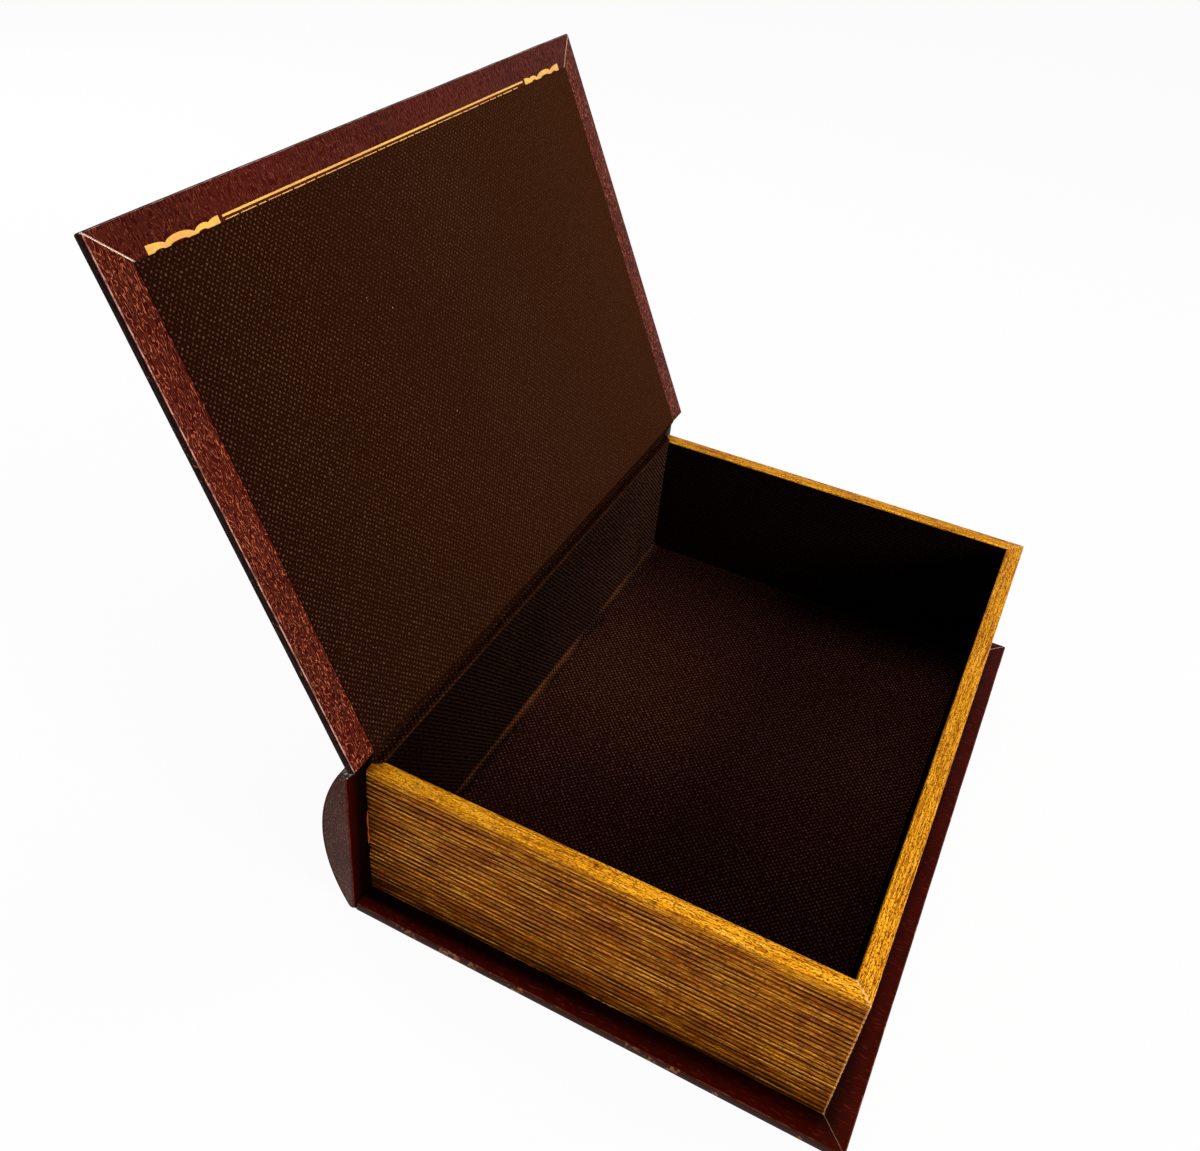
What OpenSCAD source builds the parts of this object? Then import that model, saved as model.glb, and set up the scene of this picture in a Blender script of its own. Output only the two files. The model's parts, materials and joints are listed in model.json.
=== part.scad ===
// Book box: a box for papers and keepsakes that looks like a thick bound book.
// Three ribbed walls imitate the page edges. They stand on the base cover with
// a plain wall at the back, and a rounded spine is glued to that back. The lid
// is the book's front cover. It turns on a leather joint along the spine, and
// is drawn laid back, as far as its taut lining lets it go.
// The origin is the centre of the base cover's underside. X runs from the
// spine to the fore-edge, Y from the tail to the head and Z up, in millimetres.

/* [Walls] */
// Length of the walls along the spine
box_length = 250; // [180:1:320]
// Width from the back of the spine wall to the outside of the fore-edge wall
box_width = 167.4; // [120:0.2:220]
// Height of the walls above the base cover
wall_height = 60.4; // [40:0.2:90]
// Thickness of the ribbed walls
wall_thick = 6.1; // [5:0.1:9]
// Thickness of the plain wall behind the spine
spine_wall_thick = 4; // [3:0.1:5.5]
// Radius of the eased edges along the walls' tops
wall_ease = 0.5; // [0.2:0.1:0.8]

/* [Ribs] */
// Plain band above the first groove
band_height = 3; // [2:0.1:5]
// Distance from one groove to the next
rib_pitch = 2.27; // [1.6:0.01:4]
// Depth of the grooves
groove_depth = 0.5; // [0.2:0.05:0.8]

/* [Covers] */
// How far the covers stand out past the walls
cover_square = 9.35; // [5:0.05:14]
// Thickness of the base cover's board
base_board_thick = 2.7; // [2:0.1:4]
// Thickness of the lid's board
lid_board_thick = 2.25; // [1.8:0.05:4]
// Thickness of the leather
leather_thick = 0.5; // [0.3:0.05:0.8]
// Gap between the base cover's back edge and the spine's flat face
base_joint_gap = 0.75; // [0.3:0.05:1.5]
// How far the base cover's leather runs in under the walls
under_wall = 4.5; // [3:0.1:4.9]
// Width of the cut where two turned-in leather edges meet at a corner
mitre_gap = 0.35; // [0.2:0.05:0.6]

/* [Spine] */
// How far the spine bulges out behind the box
spine_bulge = 11.8; // [8:0.1:16]
// Radius of the spine's rounded upper and lower edges
spine_edge_radius = 1.5; // [1:0.1:2]
// Height of the spine's shoulder above the closed lid
shoulder_rise = 1.5; // [0.8:0.1:2.5]
// How far the spine stops short of the covers at the head
spine_short = 2.5; // [0:0.1:6]

/* [Lid] */
// Angle that the lid turns from closed to laid back
lid_open = 115.6; // [100:0.1:120]
// Distance from the spine's flat face to the lid's back edge, closed
lid_setback = 4.1; // [3.5:0.1:5]
// Height of the closed lid's lining above the walls
lid_rest = 0.45; // [0.4:0.05:0.8]
// Distance of the hinge line from the spine's flat face
hinge_offset = 1.3; // [1:0.05:1.6]
// Height of the hinge line above the closed lid's outer face
hinge_rise = 0.2; // [0:0.05:0.4]

/* [Lining] */
// Thickness of the lining
lining_thick = 0.35; // [0.2:0.05:0.4]
// Leather left bare along the lid's fore-edge
fore_margin = 11.6; // [8:0.1:16]
// Leather left bare along the lid's tail and head
side_margin = 11.1; // [10.5:0.1:12]
// How far the lining laps over the lid's turned-in leather
lining_lap = 3.5; // [2:0.1:6]
// Inside radius of the lining where it turns from the spine wall to the floor
floor_curve = 3; // [1.5:0.1:6]
// Height of the lining's crest above the spine wall
crest_height = 0.75; // [0.5:0.05:1]
// Length of the lining's tabs on the tops of the tail and head walls
tab_length = 6.3; // [5.6:0.1:8]
// How far the tabs' outer edges draw in along their length
tab_taper = 2.75; // [1:0.05:3]

/* [Gilding] */
// Thickness of the gold foil
foil_thick = 0.1; // [0.05:0.01:0.15]
// Distance from the lining's edge to the gold line
foil_clear = 1.1; // [0.4:0.1:2]
// Width of the gold line
foil_line = 0.9; // [0.5:0.05:1.2]
// Height of the scalloped end pieces, from the lining's edge
foil_height = 2.5; // [1.5:0.1:4]
// Distance from the lid's tail or head edge to the scalloped end pieces
foil_end = 16.5; // [16:0.1:24]
// Length of a scalloped end piece
foil_piece = 28.4; // [28.4:0.1:34]
// Gap between the end pieces and the line
foil_gap = 1.6; // [0.8:0.1:4]

/* [Hidden] */

$fn = 96;
// Margin by which a cutter runs past what it cuts
past = 1;
// Straight pieces in the outline of one rib
rib_steps = 4;
// Straight pieces in an eased edge
ease_steps = 3;
// Distance of the hinge fold's centre behind the spine's flat face
fold_back = 0.1;
// Where one scallop of an end piece meets the next, from its outer end
scallop_cusps = [7, 18.2, 24];
// Share of an end piece's height that lies below those places
scallop_foot = 0.4;

// Everything below is placed from the spine's flat face, the middle of the
// length and the top face of the base cover's leather.
base_thick = base_board_thick + 2 * leather_thick;
lid_thick = lid_board_thick + 2 * leather_thick;
cover_length = box_length + 2 * cover_square;
fore_edge = box_width + cover_square;
board_top = -leather_thick;
inner_length = box_length - 2 * wall_thick;

lid_under = wall_height + lid_rest + lining_thick;
lid_top = lid_under + lid_thick;
lid_turn_in = max(fore_margin, side_margin) + lining_lap;
base_turn_in = cover_square + under_wall;
hinge_x = hinge_offset;
hinge_z = lid_top + hinge_rise;
lining_half = cover_length / 2 - side_margin;

spine_top = lid_top + shoulder_rise;
spine_half = (spine_top + base_thick) / 2;
spine_middle = spine_top - spine_half;
edge_height = spine_half - spine_edge_radius;
spine_radius = (pow(edge_height, 2) / (spine_bulge - 2 * spine_edge_radius) + spine_bulge) / 2;
spine_centre = spine_radius - spine_bulge;
edge_slope = edge_height / (spine_centre + spine_edge_radius);

groove_count = floor((wall_height - band_height - groove_depth) / rib_pitch) + 1;
last_groove = band_height + (groove_count - 1) * rib_pitch;

// Where a point of the closed lid's section lies once the lid is laid back
function opened(x, z) = [
    hinge_x + (x - hinge_x) * cos(lid_open) - (z - hinge_z) * sin(lid_open),
    hinge_z + (x - hinge_x) * sin(lid_open) + (z - hinge_z) * cos(lid_open)];

lid_corner = opened(lid_setback, lid_top);
lid_inner_corner = opened(lid_setback, lid_under);
lining_corner = opened(lid_setback, lid_under - lining_thick);

// The hinge leather folds from the middle of the lid's outer skin down to the
// top of the spine's flat face
skin_end = opened(lid_setback, lid_top - leather_thick / 2);
fold_centre = [-fold_back, (skin_end[1] + spine_middle + edge_height) / 2];
fold_radius = norm(skin_end - fold_centre);

// Placing

module in_place() {
    translate([-(base_joint_gap + fore_edge) / 2, 0, base_thick]) children();
}

// Turns a section drawn in X and Z into a bar that runs along Y, centred
module bar(length) {
    translate([0, length / 2, 0]) rotate([90, 0, 0]) linear_extrude(length) children();
}

module laid_back() {
    translate([hinge_x, 0, hinge_z]) rotate([0, -lid_open, 0]) translate([-hinge_x, 0, -hinge_z])
        children();
}

// A box given by its lowest and highest corners
module block(low, high) {
    translate(low) cube(high - low);
}

// Walls

// Depth of the ribbed face at a share of the way from one groove to the next
function rib_depth(share) = groove_depth * (1 - sin(180 * share));

// Section of the moulding: X is the depth from its outer face, Y the height
module moulding_section() {
    inner_ease = [for (i = [0 : ease_steps]) let (a = 90 * i / ease_steps)
        [wall_thick - wall_ease + wall_ease * cos(a), wall_height - wall_ease + wall_ease * sin(a)]];
    outer_ease = [for (i = [0 : ease_steps]) let (a = 90 + 90 * i / ease_steps)
        [wall_ease + wall_ease * cos(a), wall_height - wall_ease + wall_ease * sin(a)]];
    ribs = [for (i = [0 : groove_count - 2], k = [0 : rib_steps - 1])
        [rib_depth(k / rib_steps), wall_height - band_height - (i + k / rib_steps) * rib_pitch]];
    first_land = [[0, wall_height - band_height + groove_depth]];
    last_rib = [[groove_depth, wall_height - last_groove],
                [0, max(0.1, wall_height - last_groove - groove_depth)]];
    polygon(concat([[0, 0], [wall_thick, 0]], inner_ease, outer_ease, first_land, ribs, last_rib));
}

// Plan of the tail wall, square at the spine and mitred at the fore-edge
module tail_plan() {
    polygon([[0, 0], [box_width, 0], [box_width - wall_thick, wall_thick], [0, wall_thick]]);
}

module fore_plan() {
    polygon([[box_width, -box_length / 2], [box_width, box_length / 2],
             [box_width - wall_thick, inner_length / 2],
             [box_width - wall_thick, -inner_length / 2]]);
}

module ribbed_tail() {
    intersection() {
        translate([0, -box_length / 2, 0]) rotate([90, 0, 90]) linear_extrude(box_width)
            moulding_section();
        translate([0, -box_length / 2, -past]) linear_extrude(wall_height + 2 * past) tail_plan();
    }
}

module tail_wall() {
    color("#b07a20") in_place() ribbed_tail();
}

module head_wall() {
    color("#b07a20") in_place() mirror([0, 1, 0]) ribbed_tail();
}

module fore_edge_wall() {
    color("#b07a20") in_place() intersection() {
        translate([box_width, 0, 0]) mirror([1, 0, 0]) bar(box_length) moulding_section();
        translate([0, 0, -past]) linear_extrude(wall_height + 2 * past) fore_plan();
    }
}

module spine_wall() {
    color("#c8a878") in_place()
        block([0, -inner_length / 2, board_top], [spine_wall_thick, inner_length / 2, wall_height]);
}

// Covers

// A board wrapped in leather on its outer face, with the leather turned in over
// three edges. Z runs from the outer face at 0 to the turned-in face.
module cover_leather(back, thick, turn_in) {
    half = cover_length / 2;
    difference() {
        block([back, -half, 0], [fore_edge, half, thick]);
        block([back - past, -half + leather_thick, leather_thick],
              [fore_edge - leather_thick, half - leather_thick, thick - leather_thick]);
        block([back - past, -half + turn_in, thick - 2 * leather_thick],
              [fore_edge - turn_in, half - turn_in, thick + past]);
        for (side = [-1, 1])
            translate([fore_edge - leather_thick, side * (half - leather_thick), 0])
                rotate([0, 0, side * 45])
                    block([-turn_in * sqrt(2), -mitre_gap / 2, thick - leather_thick - past / 2],
                          [0, mitre_gap / 2, thick + past]);
    }
}

module cover_board(back, thick) {
    half = cover_length / 2 - leather_thick;
    block([back, -half, leather_thick], [fore_edge - leather_thick, half, leather_thick + thick]);
}

module base_board() {
    color("#c9bda6") in_place() translate([0, 0, -base_thick])
        cover_board(base_joint_gap, base_board_thick);
}

module base_leather() {
    color("#4a1712") in_place() {
        translate([0, 0, -base_thick])
            cover_leather(base_joint_gap, base_thick, base_turn_in);
        // The leather runs on across the joint to the spine
        difference() {
            block([-spine_edge_radius / 2, -cover_length / 2, -base_thick],
                  [base_joint_gap, cover_length / 2, -base_thick + leather_thick]);
            bar(cover_length + 2 * past) spine_section(0);
        }
    }
}

module lid_board() {
    color("#c9bda6") in_place() laid_back() translate([0, 0, lid_top]) mirror([0, 0, 1])
        cover_board(lid_setback, lid_board_thick);
}

module lid_leather() {
    color("#5a2018") in_place() laid_back() translate([0, 0, lid_top]) mirror([0, 0, 1])
        cover_leather(lid_setback, lid_thick, lid_turn_in);
}

// Spine

// Section of the spine: a flat face on the box side, a round back and two
// rounded edges, all drawn in by the inset
module spine_section(inset) {
    far = 2 * spine_bulge;
    translate([0, spine_middle]) {
        intersection() {
            translate([spine_centre, 0]) circle(spine_radius - inset);
            polygon([[-inset, (spine_centre + inset) * edge_slope],
                     [-far, (spine_centre + far) * edge_slope],
                     [-far, -(spine_centre + far) * edge_slope],
                     [-inset, -(spine_centre + inset) * edge_slope]]);
        }
        for (side = [-1, 1])
            translate([-spine_edge_radius, side * edge_height]) circle(spine_edge_radius - inset);
        translate([-spine_edge_radius, -edge_height])
            square([spine_edge_radius - inset, 2 * edge_height]);
    }
}

// A bar as long as the spine, less the trim at each end
module spine_bar(trim) {
    translate([0, -spine_short / 2, 0]) bar(cover_length - spine_short - 2 * trim) children();
}

module spine_block() {
    color("#b8935c") in_place() spine_bar(leather_thick) spine_section(leather_thick);
}

module spine_leather() {
    color("#4a1d17") in_place() spine_bar(0) difference() {
        spine_section(0);
        spine_section(leather_thick);
    }
}

// A leather cap that closes the end of the spine, inside its skin
module spine_cap(side) {
    cap_middle = side * (cover_length - spine_short - leather_thick) / 2 - spine_short / 2;
    color("#5b3b38") in_place() translate([0, cap_middle, 0])
        bar(leather_thick) spine_section(leather_thick);
}

module tail_cap() { spine_cap(-1); }

module head_cap() { spine_cap(1); }

// Joint

// The leather between the lid and the spine, folded inwards by the lid's lean
module hinge_leather() {
    reach = 4 * fold_radius;
    color("#4a1d17") in_place() spine_bar(0) difference() {
        translate(fold_centre) circle(fold_radius + leather_thick / 2);
        translate(fold_centre) circle(fold_radius - leather_thick / 2);
        translate([-reach, lid_corner[1] - reach]) square([reach, 2 * reach]);
        translate(lid_corner) rotate(lid_open - 90) translate([-reach, 0]) square(2 * reach);
    }
}

// Section of the lining from the lid's lower edge to the top of the spine wall
module hinge_lining_section() {
    face = spine_wall_thick + lining_thick;
    polygon([lid_inner_corner, lining_corner,
             [spine_wall_thick, wall_height + crest_height + lining_thick],
             [face, wall_height + crest_height], [face, wall_height],
             [spine_wall_thick - lining_thick, wall_height],
             [spine_wall_thick - lining_thick, wall_height + crest_height]]);
}

// A tab of the lining on the top of the tail wall, cut away towards its tip
module tab_plan() {
    edge = -lining_half;
    inner = -inner_length / 2;
    polygon([[0, edge], [tab_length, edge + tab_taper], [tab_length - 2 * lining_thick, inner],
             [0, inner]]);
}

module hinge_lining() {
    color("#24130c") in_place() {
        bar(2 * lining_half) hinge_lining_section();
        for (side = [0, 1])
            mirror([0, side, 0]) translate([0, 0, wall_height]) linear_extrude(lining_thick)
                tab_plan();
    }
}

// Lining

module lid_lining() {
    field_half = cover_length / 2 - lid_turn_in;
    color("#2b170e") in_place() laid_back() {
        block([lid_setback, -lining_half, lid_under - lining_thick],
              [fore_edge - fore_margin, lining_half, lid_under]);
        block([lid_setback, -field_half, lid_under - lining_thick],
              [fore_edge - lid_turn_in, field_half, lid_under + leather_thick]);
    }
}

module spine_lining() {
    face = spine_wall_thick + lining_thick;
    floor_top = board_top + lining_thick;
    reach = floor_curve + lining_thick;
    color("#1c100b") in_place() bar(inner_length - 2 * lining_thick) {
        translate([spine_wall_thick, floor_top + floor_curve])
            square([lining_thick, wall_height - floor_top - floor_curve]);
        intersection() {
            difference() {
                translate([face + floor_curve, floor_top + floor_curve]) circle(reach);
                translate([face + floor_curve, floor_top + floor_curve]) circle(floor_curve);
            }
            translate([spine_wall_thick, board_top]) square(reach);
        }
    }
}

module floor_lining() {
    half = inner_length / 2 - lining_thick;
    color("#1c100b") in_place()
        block([spine_wall_thick + lining_thick + floor_curve, -half, board_top],
              [box_width - wall_thick - lining_thick, half, board_top + lining_thick]);
}

module end_lining(side) {
    inner = side * inner_length / 2;
    face = inner - side * lining_thick;
    color("#1c100b") in_place()
        block([spine_wall_thick, min(inner, face), board_top],
              [box_width - wall_thick, max(inner, face), wall_height - wall_ease]);
}

module tail_lining() { end_lining(-1); }

module head_lining() { end_lining(1); }

module fore_lining() {
    half = inner_length / 2 - lining_thick;
    color("#1c100b") in_place()
        block([box_width - wall_thick - lining_thick, -half, board_top],
              [box_width - wall_thick, half, wall_height - wall_ease]);
}

// Gilding

// One scallop of foil: a round segment that rises above a base line
module scallop(start, end, rise) {
    half = (end - start) / 2;
    radius = (half * half + rise * rise) / (2 * rise);
    intersection() {
        translate([start + half, rise - radius]) circle(radius);
        translate([start, 0]) square([2 * half, rise]);
    }
}

// A scalloped end piece. X runs from its outer end towards the line, and Y from
// the lining's edge towards the lid's fore-edge. A half scallop ends it each way.
module scalloped_piece() {
    foot = foil_height * scallop_foot;
    last_cusp = scallop_cusps[len(scallop_cusps) - 1];
    bounds = concat([-scallop_cusps[0]], scallop_cusps, [2 * foil_piece - last_cusp]);
    square([foil_piece, foot]);
    intersection() {
        square([foil_piece, foil_height]);
        translate([0, foot]) for (i = [1 : len(bounds) - 1])
            scallop(bounds[i - 1], bounds[i], foil_height - foot);
    }
}

module gilt_border() {
    lining_edge = fore_edge - fore_margin;
    outer_end = -cover_length / 2 + foil_end;
    line_start = outer_end + foil_piece + foil_gap;
    color("#e0a94a") in_place() laid_back() {
        for (side = [0, 1])
            mirror([0, side, 0])
                translate([lining_edge, outer_end, lid_under - foil_thick])
                    linear_extrude(foil_thick) mirror([1, -1]) scalloped_piece();
        block([lining_edge + foil_clear, line_start, lid_under - foil_thick],
              [lining_edge + foil_clear + foil_line, -line_start, lid_under]);
    }
}

tail_wall();
head_wall();
fore_edge_wall();
spine_wall();
base_board();
base_leather();
spine_block();
spine_leather();
tail_cap();
head_cap();
lid_board();
lid_leather();
lid_lining();
gilt_border();
hinge_leather();
hinge_lining();
spine_lining();
floor_lining();
tail_lining();
head_lining();
fore_lining();
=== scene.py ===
# %% [markdown]
# # A book box in leather and gilt
# The object is a box that looks like a thick bound book lying open. Three
# ribbed walls, painted old gold over brown, imitate the page edges. Leather
# covers form the base and the lid, a rounded spine closes the back, and dark
# dotted cloth lines the inside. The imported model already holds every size, so
# this script only dresses it: each piece below is cut from the sizes of the
# node that it stands for.

# %% Load the frame
import json
import math
import random

import bmesh
import bpy
from mathutils import Color, Matrix, Vector, geometry, noise
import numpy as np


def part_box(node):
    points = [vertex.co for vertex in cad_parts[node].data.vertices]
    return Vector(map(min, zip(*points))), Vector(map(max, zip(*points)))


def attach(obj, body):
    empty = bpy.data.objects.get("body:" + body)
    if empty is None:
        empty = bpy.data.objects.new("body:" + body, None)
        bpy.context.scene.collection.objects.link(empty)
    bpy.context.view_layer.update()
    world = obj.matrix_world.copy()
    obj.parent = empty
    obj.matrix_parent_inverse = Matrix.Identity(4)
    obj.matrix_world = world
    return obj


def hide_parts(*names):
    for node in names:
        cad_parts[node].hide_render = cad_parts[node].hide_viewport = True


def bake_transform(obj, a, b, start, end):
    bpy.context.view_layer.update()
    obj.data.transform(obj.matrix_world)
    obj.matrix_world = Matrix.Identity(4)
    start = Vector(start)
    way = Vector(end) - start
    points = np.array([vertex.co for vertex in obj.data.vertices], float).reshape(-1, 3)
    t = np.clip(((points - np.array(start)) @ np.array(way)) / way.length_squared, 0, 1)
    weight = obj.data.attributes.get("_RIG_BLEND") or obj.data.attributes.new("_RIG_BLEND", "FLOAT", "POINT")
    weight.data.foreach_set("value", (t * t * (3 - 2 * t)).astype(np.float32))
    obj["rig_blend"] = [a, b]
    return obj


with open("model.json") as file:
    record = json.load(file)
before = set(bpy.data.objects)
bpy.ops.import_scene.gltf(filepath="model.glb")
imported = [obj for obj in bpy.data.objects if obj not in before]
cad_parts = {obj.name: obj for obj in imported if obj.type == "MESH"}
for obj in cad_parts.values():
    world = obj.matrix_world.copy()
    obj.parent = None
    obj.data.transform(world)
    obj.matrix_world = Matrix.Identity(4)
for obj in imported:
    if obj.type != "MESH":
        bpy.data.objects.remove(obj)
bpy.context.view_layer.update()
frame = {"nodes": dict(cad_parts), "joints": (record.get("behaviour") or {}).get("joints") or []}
print("nodes in the frame:", len(frame["nodes"]))

# %% [markdown]
# ## Sizes
# One millimetre is the unit that a bookbinder thinks in, so sizes are written
# in it and turned into metres once. The lid is drawn laid back. Its pieces
# could be made at that slant, but they are far easier to make lying flat and
# shut. `shut` turns a point of the open lid to where it lies when the box is
# closed, and `laid_back` is the way back.

# %% The lid's turn
MM = 0.001
joint = frame["joints"][0]
hinge = Vector(joint["pos_m"])
lid_angle = math.radians(joint["range_deg"][1])
about_hinge = Matrix.Translation(hinge)
shut = about_hinge @ Matrix.Rotation(lid_angle, 4, "Y") @ about_hinge.inverted()
laid_back = shut.inverted()
print("the lid turns", joint["range_deg"][1], "degrees")

# %% Sizes of the nodes


def shut_box(node):
    """Lowest and highest corner of one of the lid's nodes with the lid shut."""
    points = [shut @ v.co for v in frame["nodes"][node].data.vertices]
    low = Vector(min(p[i] for p in points) for i in range(3))
    high = Vector(max(p[i] for p in points) for i in range(3))
    return low, high


tail_low, tail_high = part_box("tail_wall")
head_low, head_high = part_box("head_wall")
spine_low, spine_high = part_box("spine_leather")
post_low, post_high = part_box("spine_wall")
base_low, base_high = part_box("base_leather")
board_low, board_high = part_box("base_board")
floor_low, floor_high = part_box("floor_lining")
lid_low, lid_high = shut_box("lid_leather")
cloth_low, cloth_high = shut_box("lid_lining")
foil_low = shut_box("gilt_border")[0]

wall_thick = tail_high.y - tail_low.y
wall_height = tail_high.z - tail_low.z
box_width = tail_high.x - tail_low.x
box_length = head_high.y - tail_low.y
inside_length = head_low.y - tail_high.y
skin = board_low.z - base_low.z
cloth = floor_high.z - floor_low.z
print("walls", round(wall_height / MM, 1), "mm high, leather", round(skin / MM, 2), "mm thick")

# %% [markdown]
# ## Camera
# The view is the photograph's own. A camera could be set by eye, but its
# numbers here come from matching the corners of the walls and covers with a
# simple pinhole camera, so the lens and the small shift are those of the
# picture, whose frame is 1200 wide.

# %% Camera
FRAME_WIDTH = 1200
FRAME_HEIGHT = 1151
FOCAL_PIXELS = 1135.3
AXIS_PIXEL = (538.4, 586.2)
SENSOR = 36.0
EYE = Vector((63.84, -326.56, 341.63)) * MM
FORWARD = Vector((-0.33474, 0.70725, -0.62269))
RIGHT = Vector((0.88099, 0.46938, 0.05953))


def add_object(name, data):
    """An object in the scene's own collection."""
    made = bpy.data.objects.new(name, data)
    bpy.context.scene.collection.objects.link(made)
    return made


lens = bpy.data.cameras.new("camera")
lens.sensor_width = SENSOR
lens.lens = FOCAL_PIXELS * SENSOR / FRAME_WIDTH
lens.shift_x = (FRAME_WIDTH / 2 - AXIS_PIXEL[0]) / FRAME_WIDTH
lens.shift_y = (AXIS_PIXEL[1] - FRAME_HEIGHT / 2) / FRAME_WIDTH
lens.clip_start = 0.01
camera = add_object("camera", lens)
back = -FORWARD.normalized()
up = back.cross(RIGHT).normalized()
side = up.cross(back)
camera.matrix_world = Matrix.Translation(EYE) @ Matrix((side, up, back)).transposed().to_4x4()
bpy.context.scene.camera = camera
print("lens", round(lens.lens, 2), "mm")

# %% [markdown]
# ## Nodes in plain words
# Materials are trees of nodes. Written out in full, each node takes four or
# five lines, so a few small helpers keep the trees readable: `put` adds a node
# and fills its sockets, `maths`, `times` and `plus` do arithmetic, and `mixed`
# blends two colours. A colour is written as it looks on a screen and is turned into
# the linear light that the shader works in.

# %% Helpers for nodes


def paint(code):
    """A screen colour such as #8a3a20 as linear light."""
    parts = [int(code[i:i + 2], 16) / 255 for i in (1, 3, 5)]
    return (*Color(parts).from_srgb_to_scene_linear(), 1.0)


def dress(tree, node, sockets):
    """Fills a node's sockets. An output is linked, and anything else is set as the value."""
    for name, value in sockets.items():
        if isinstance(value, bpy.types.NodeSocket):
            tree.links.new(value, node.inputs[name])
        else:
            node.inputs[name].default_value = value


def put(tree, kind, sockets=None, **settings):
    """Adds a node, first with its settings and then with its sockets."""
    node = tree.nodes.new("ShaderNode" + kind)
    for name, value in settings.items():
        setattr(node, name, value)
    dress(tree, node, sockets or {})
    return node


def maths(tree, operation, first, second=0.0):
    return put(tree, "Math", {0: first, 1: second}, operation=operation).outputs[0]


def times(tree, first, second):
    return maths(tree, "MULTIPLY", first, second)


def plus(tree, first, second):
    return maths(tree, "ADD", first, second)


def mixed(tree, share, first, second):
    """A colour between two others. Each may be a screen colour's code or an output."""
    first, second = (paint(c) if isinstance(c, str) else c for c in (first, second))
    return put(tree, "Mix", {0: share, 6: first, 7: second}, data_type="RGBA").outputs[2]


def spread(tree, value, low, high, start=0.0, end=1.0):
    """Stretches low to high over start to end, with smooth ends."""
    sockets = {0: value, 1: low, 2: high, 3: start, 4: end}
    return put(tree, "MapRange", sockets, interpolation_type="SMOOTHSTEP").outputs[0]


def new_material(name):
    """A material with an empty tree, and its main shader."""
    material = bpy.data.materials.new(name)
    material.use_nodes = True
    tree = material.node_tree
    return material, tree, tree.nodes["Principled BSDF"]


print("the gilding's screen colour as light:", [round(c, 3) for c in paint("#f0bc50")[:3]])

# %% [markdown]
# ## Light, floor and background
# The object stands on a white table under soft boxes. A large lamp to the right
# and a wide one overhead give the leather its long soft highlights, and the
# world fills the rest. A backdrop made white by more light would burn out the
# object too. So the floor mixes a little white light of its own with a plain
# matt white, for the camera and for reflections only: the background is white,
# and a faint shadow stays under the covers.

# %% Lamps


def soft_box(name, place, aim, size, power):
    lamp = bpy.data.lights.new(name, "AREA")
    lamp.shape = "RECTANGLE"
    lamp.size, lamp.size_y = size
    lamp.energy = power
    holder = add_object(name, lamp)
    holder.location = place
    holder.rotation_euler = (Vector(aim) - Vector(place)).to_track_quat("-Z", "Y").to_euler()


soft_box("key", (1.05, -0.33, 0.58), (-0.03, 0.0, 0.08), (0.5, 0.4), 13.0)
soft_box("overhead", (0.0, 0.5, 1.3), (0.0, 0.0, 0.0), (0.7, 0.5), 5.0)
soft_box("front", (0.1, -1.0, 0.14), (0.0, -0.12, 0.03), (0.8, 0.16), 0.8)
soft_box("back", (-1.0, 0.3, 0.7), (-0.1, 0.0, 0.08), (0.6, 0.6), 6.0)

# %% World and floor
AMBIENT = 0.12
FLOOR_HALF = 8.0
FLOOR_GLOW = 0.95
WHITE = (1.0, 1.0, 1.0, 1.0)
TABLE_WHITE = (0.9, 0.9, 0.9, 1.0)


def seen_directly(tree):
    """1 for rays from the camera, from gloss and through glass, and 0 for light that only fills."""
    path = put(tree, "LightPath")
    seen = path.outputs["Is Camera Ray"]
    for name in ("Is Glossy Ray", "Is Transmission Ray"):
        seen = put(tree, "Math", {0: seen, 1: path.outputs[name]}, operation="ADD", use_clamp=True).outputs[0]
    return seen


def light_the_world():
    world = bpy.data.worlds.new("white_studio")
    world.use_nodes = True
    tree = world.node_tree
    level = put(tree, "MapRange", {"Value": seen_directly(tree), "To Min": AMBIENT, "To Max": 1.0})
    dress(tree, tree.nodes["Background"], {"Strength": level.outputs[0], "Color": WHITE})
    bpy.context.scene.world = world


def lay_floor():
    bm = bmesh.new()
    bmesh.ops.create_grid(bm, x_segments=1, y_segments=1, size=FLOOR_HALF)
    mesh = bpy.data.meshes.new("floor")
    bm.to_mesh(mesh)
    bm.free()
    floor = add_object("floor", mesh)
    material, tree, shader = new_material("white_table")
    dress(tree, shader, {"Base Color": TABLE_WHITE, "Roughness": 0.9})
    glow = put(tree, "Emission", {"Strength": 1.0})
    share = times(tree, seen_directly(tree), FLOOR_GLOW)
    blend = put(tree, "MixShader", {"Fac": share, 1: shader.outputs[0], 2: glow.outputs[0]})
    dress(tree, tree.nodes["Material Output"], {"Surface": blend.outputs[0]})
    mesh.materials.append(material)


light_the_world()
lay_floor()
bpy.context.scene.view_settings.view_transform = "Standard"
print("floor", 2 * FLOOR_HALF, "m wide")

# %% [markdown]
# ## Patterns
# Photographs of leather or cloth could be wrapped round the pieces, but they
# would stretch and repeat. Here every pattern is worked out from noise at the
# place that is being drawn, so it fits each piece at any distance. A pattern
# that more than one material uses is a node group, built once, with named
# inputs and outputs.

# %% Helpers for patterns


def stretched(tree, vector, scale):
    return put(tree, "VectorMath", {0: vector, 1: scale}, operation="MULTIPLY").outputs[0]


def cloud(tree, vector, scale, detail=2.0, roughness=0.5):
    sockets = {"Vector": vector, "Scale": scale, "Detail": detail, "Roughness": roughness}
    return put(tree, "TexNoise", sockets).outputs[0]


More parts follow.
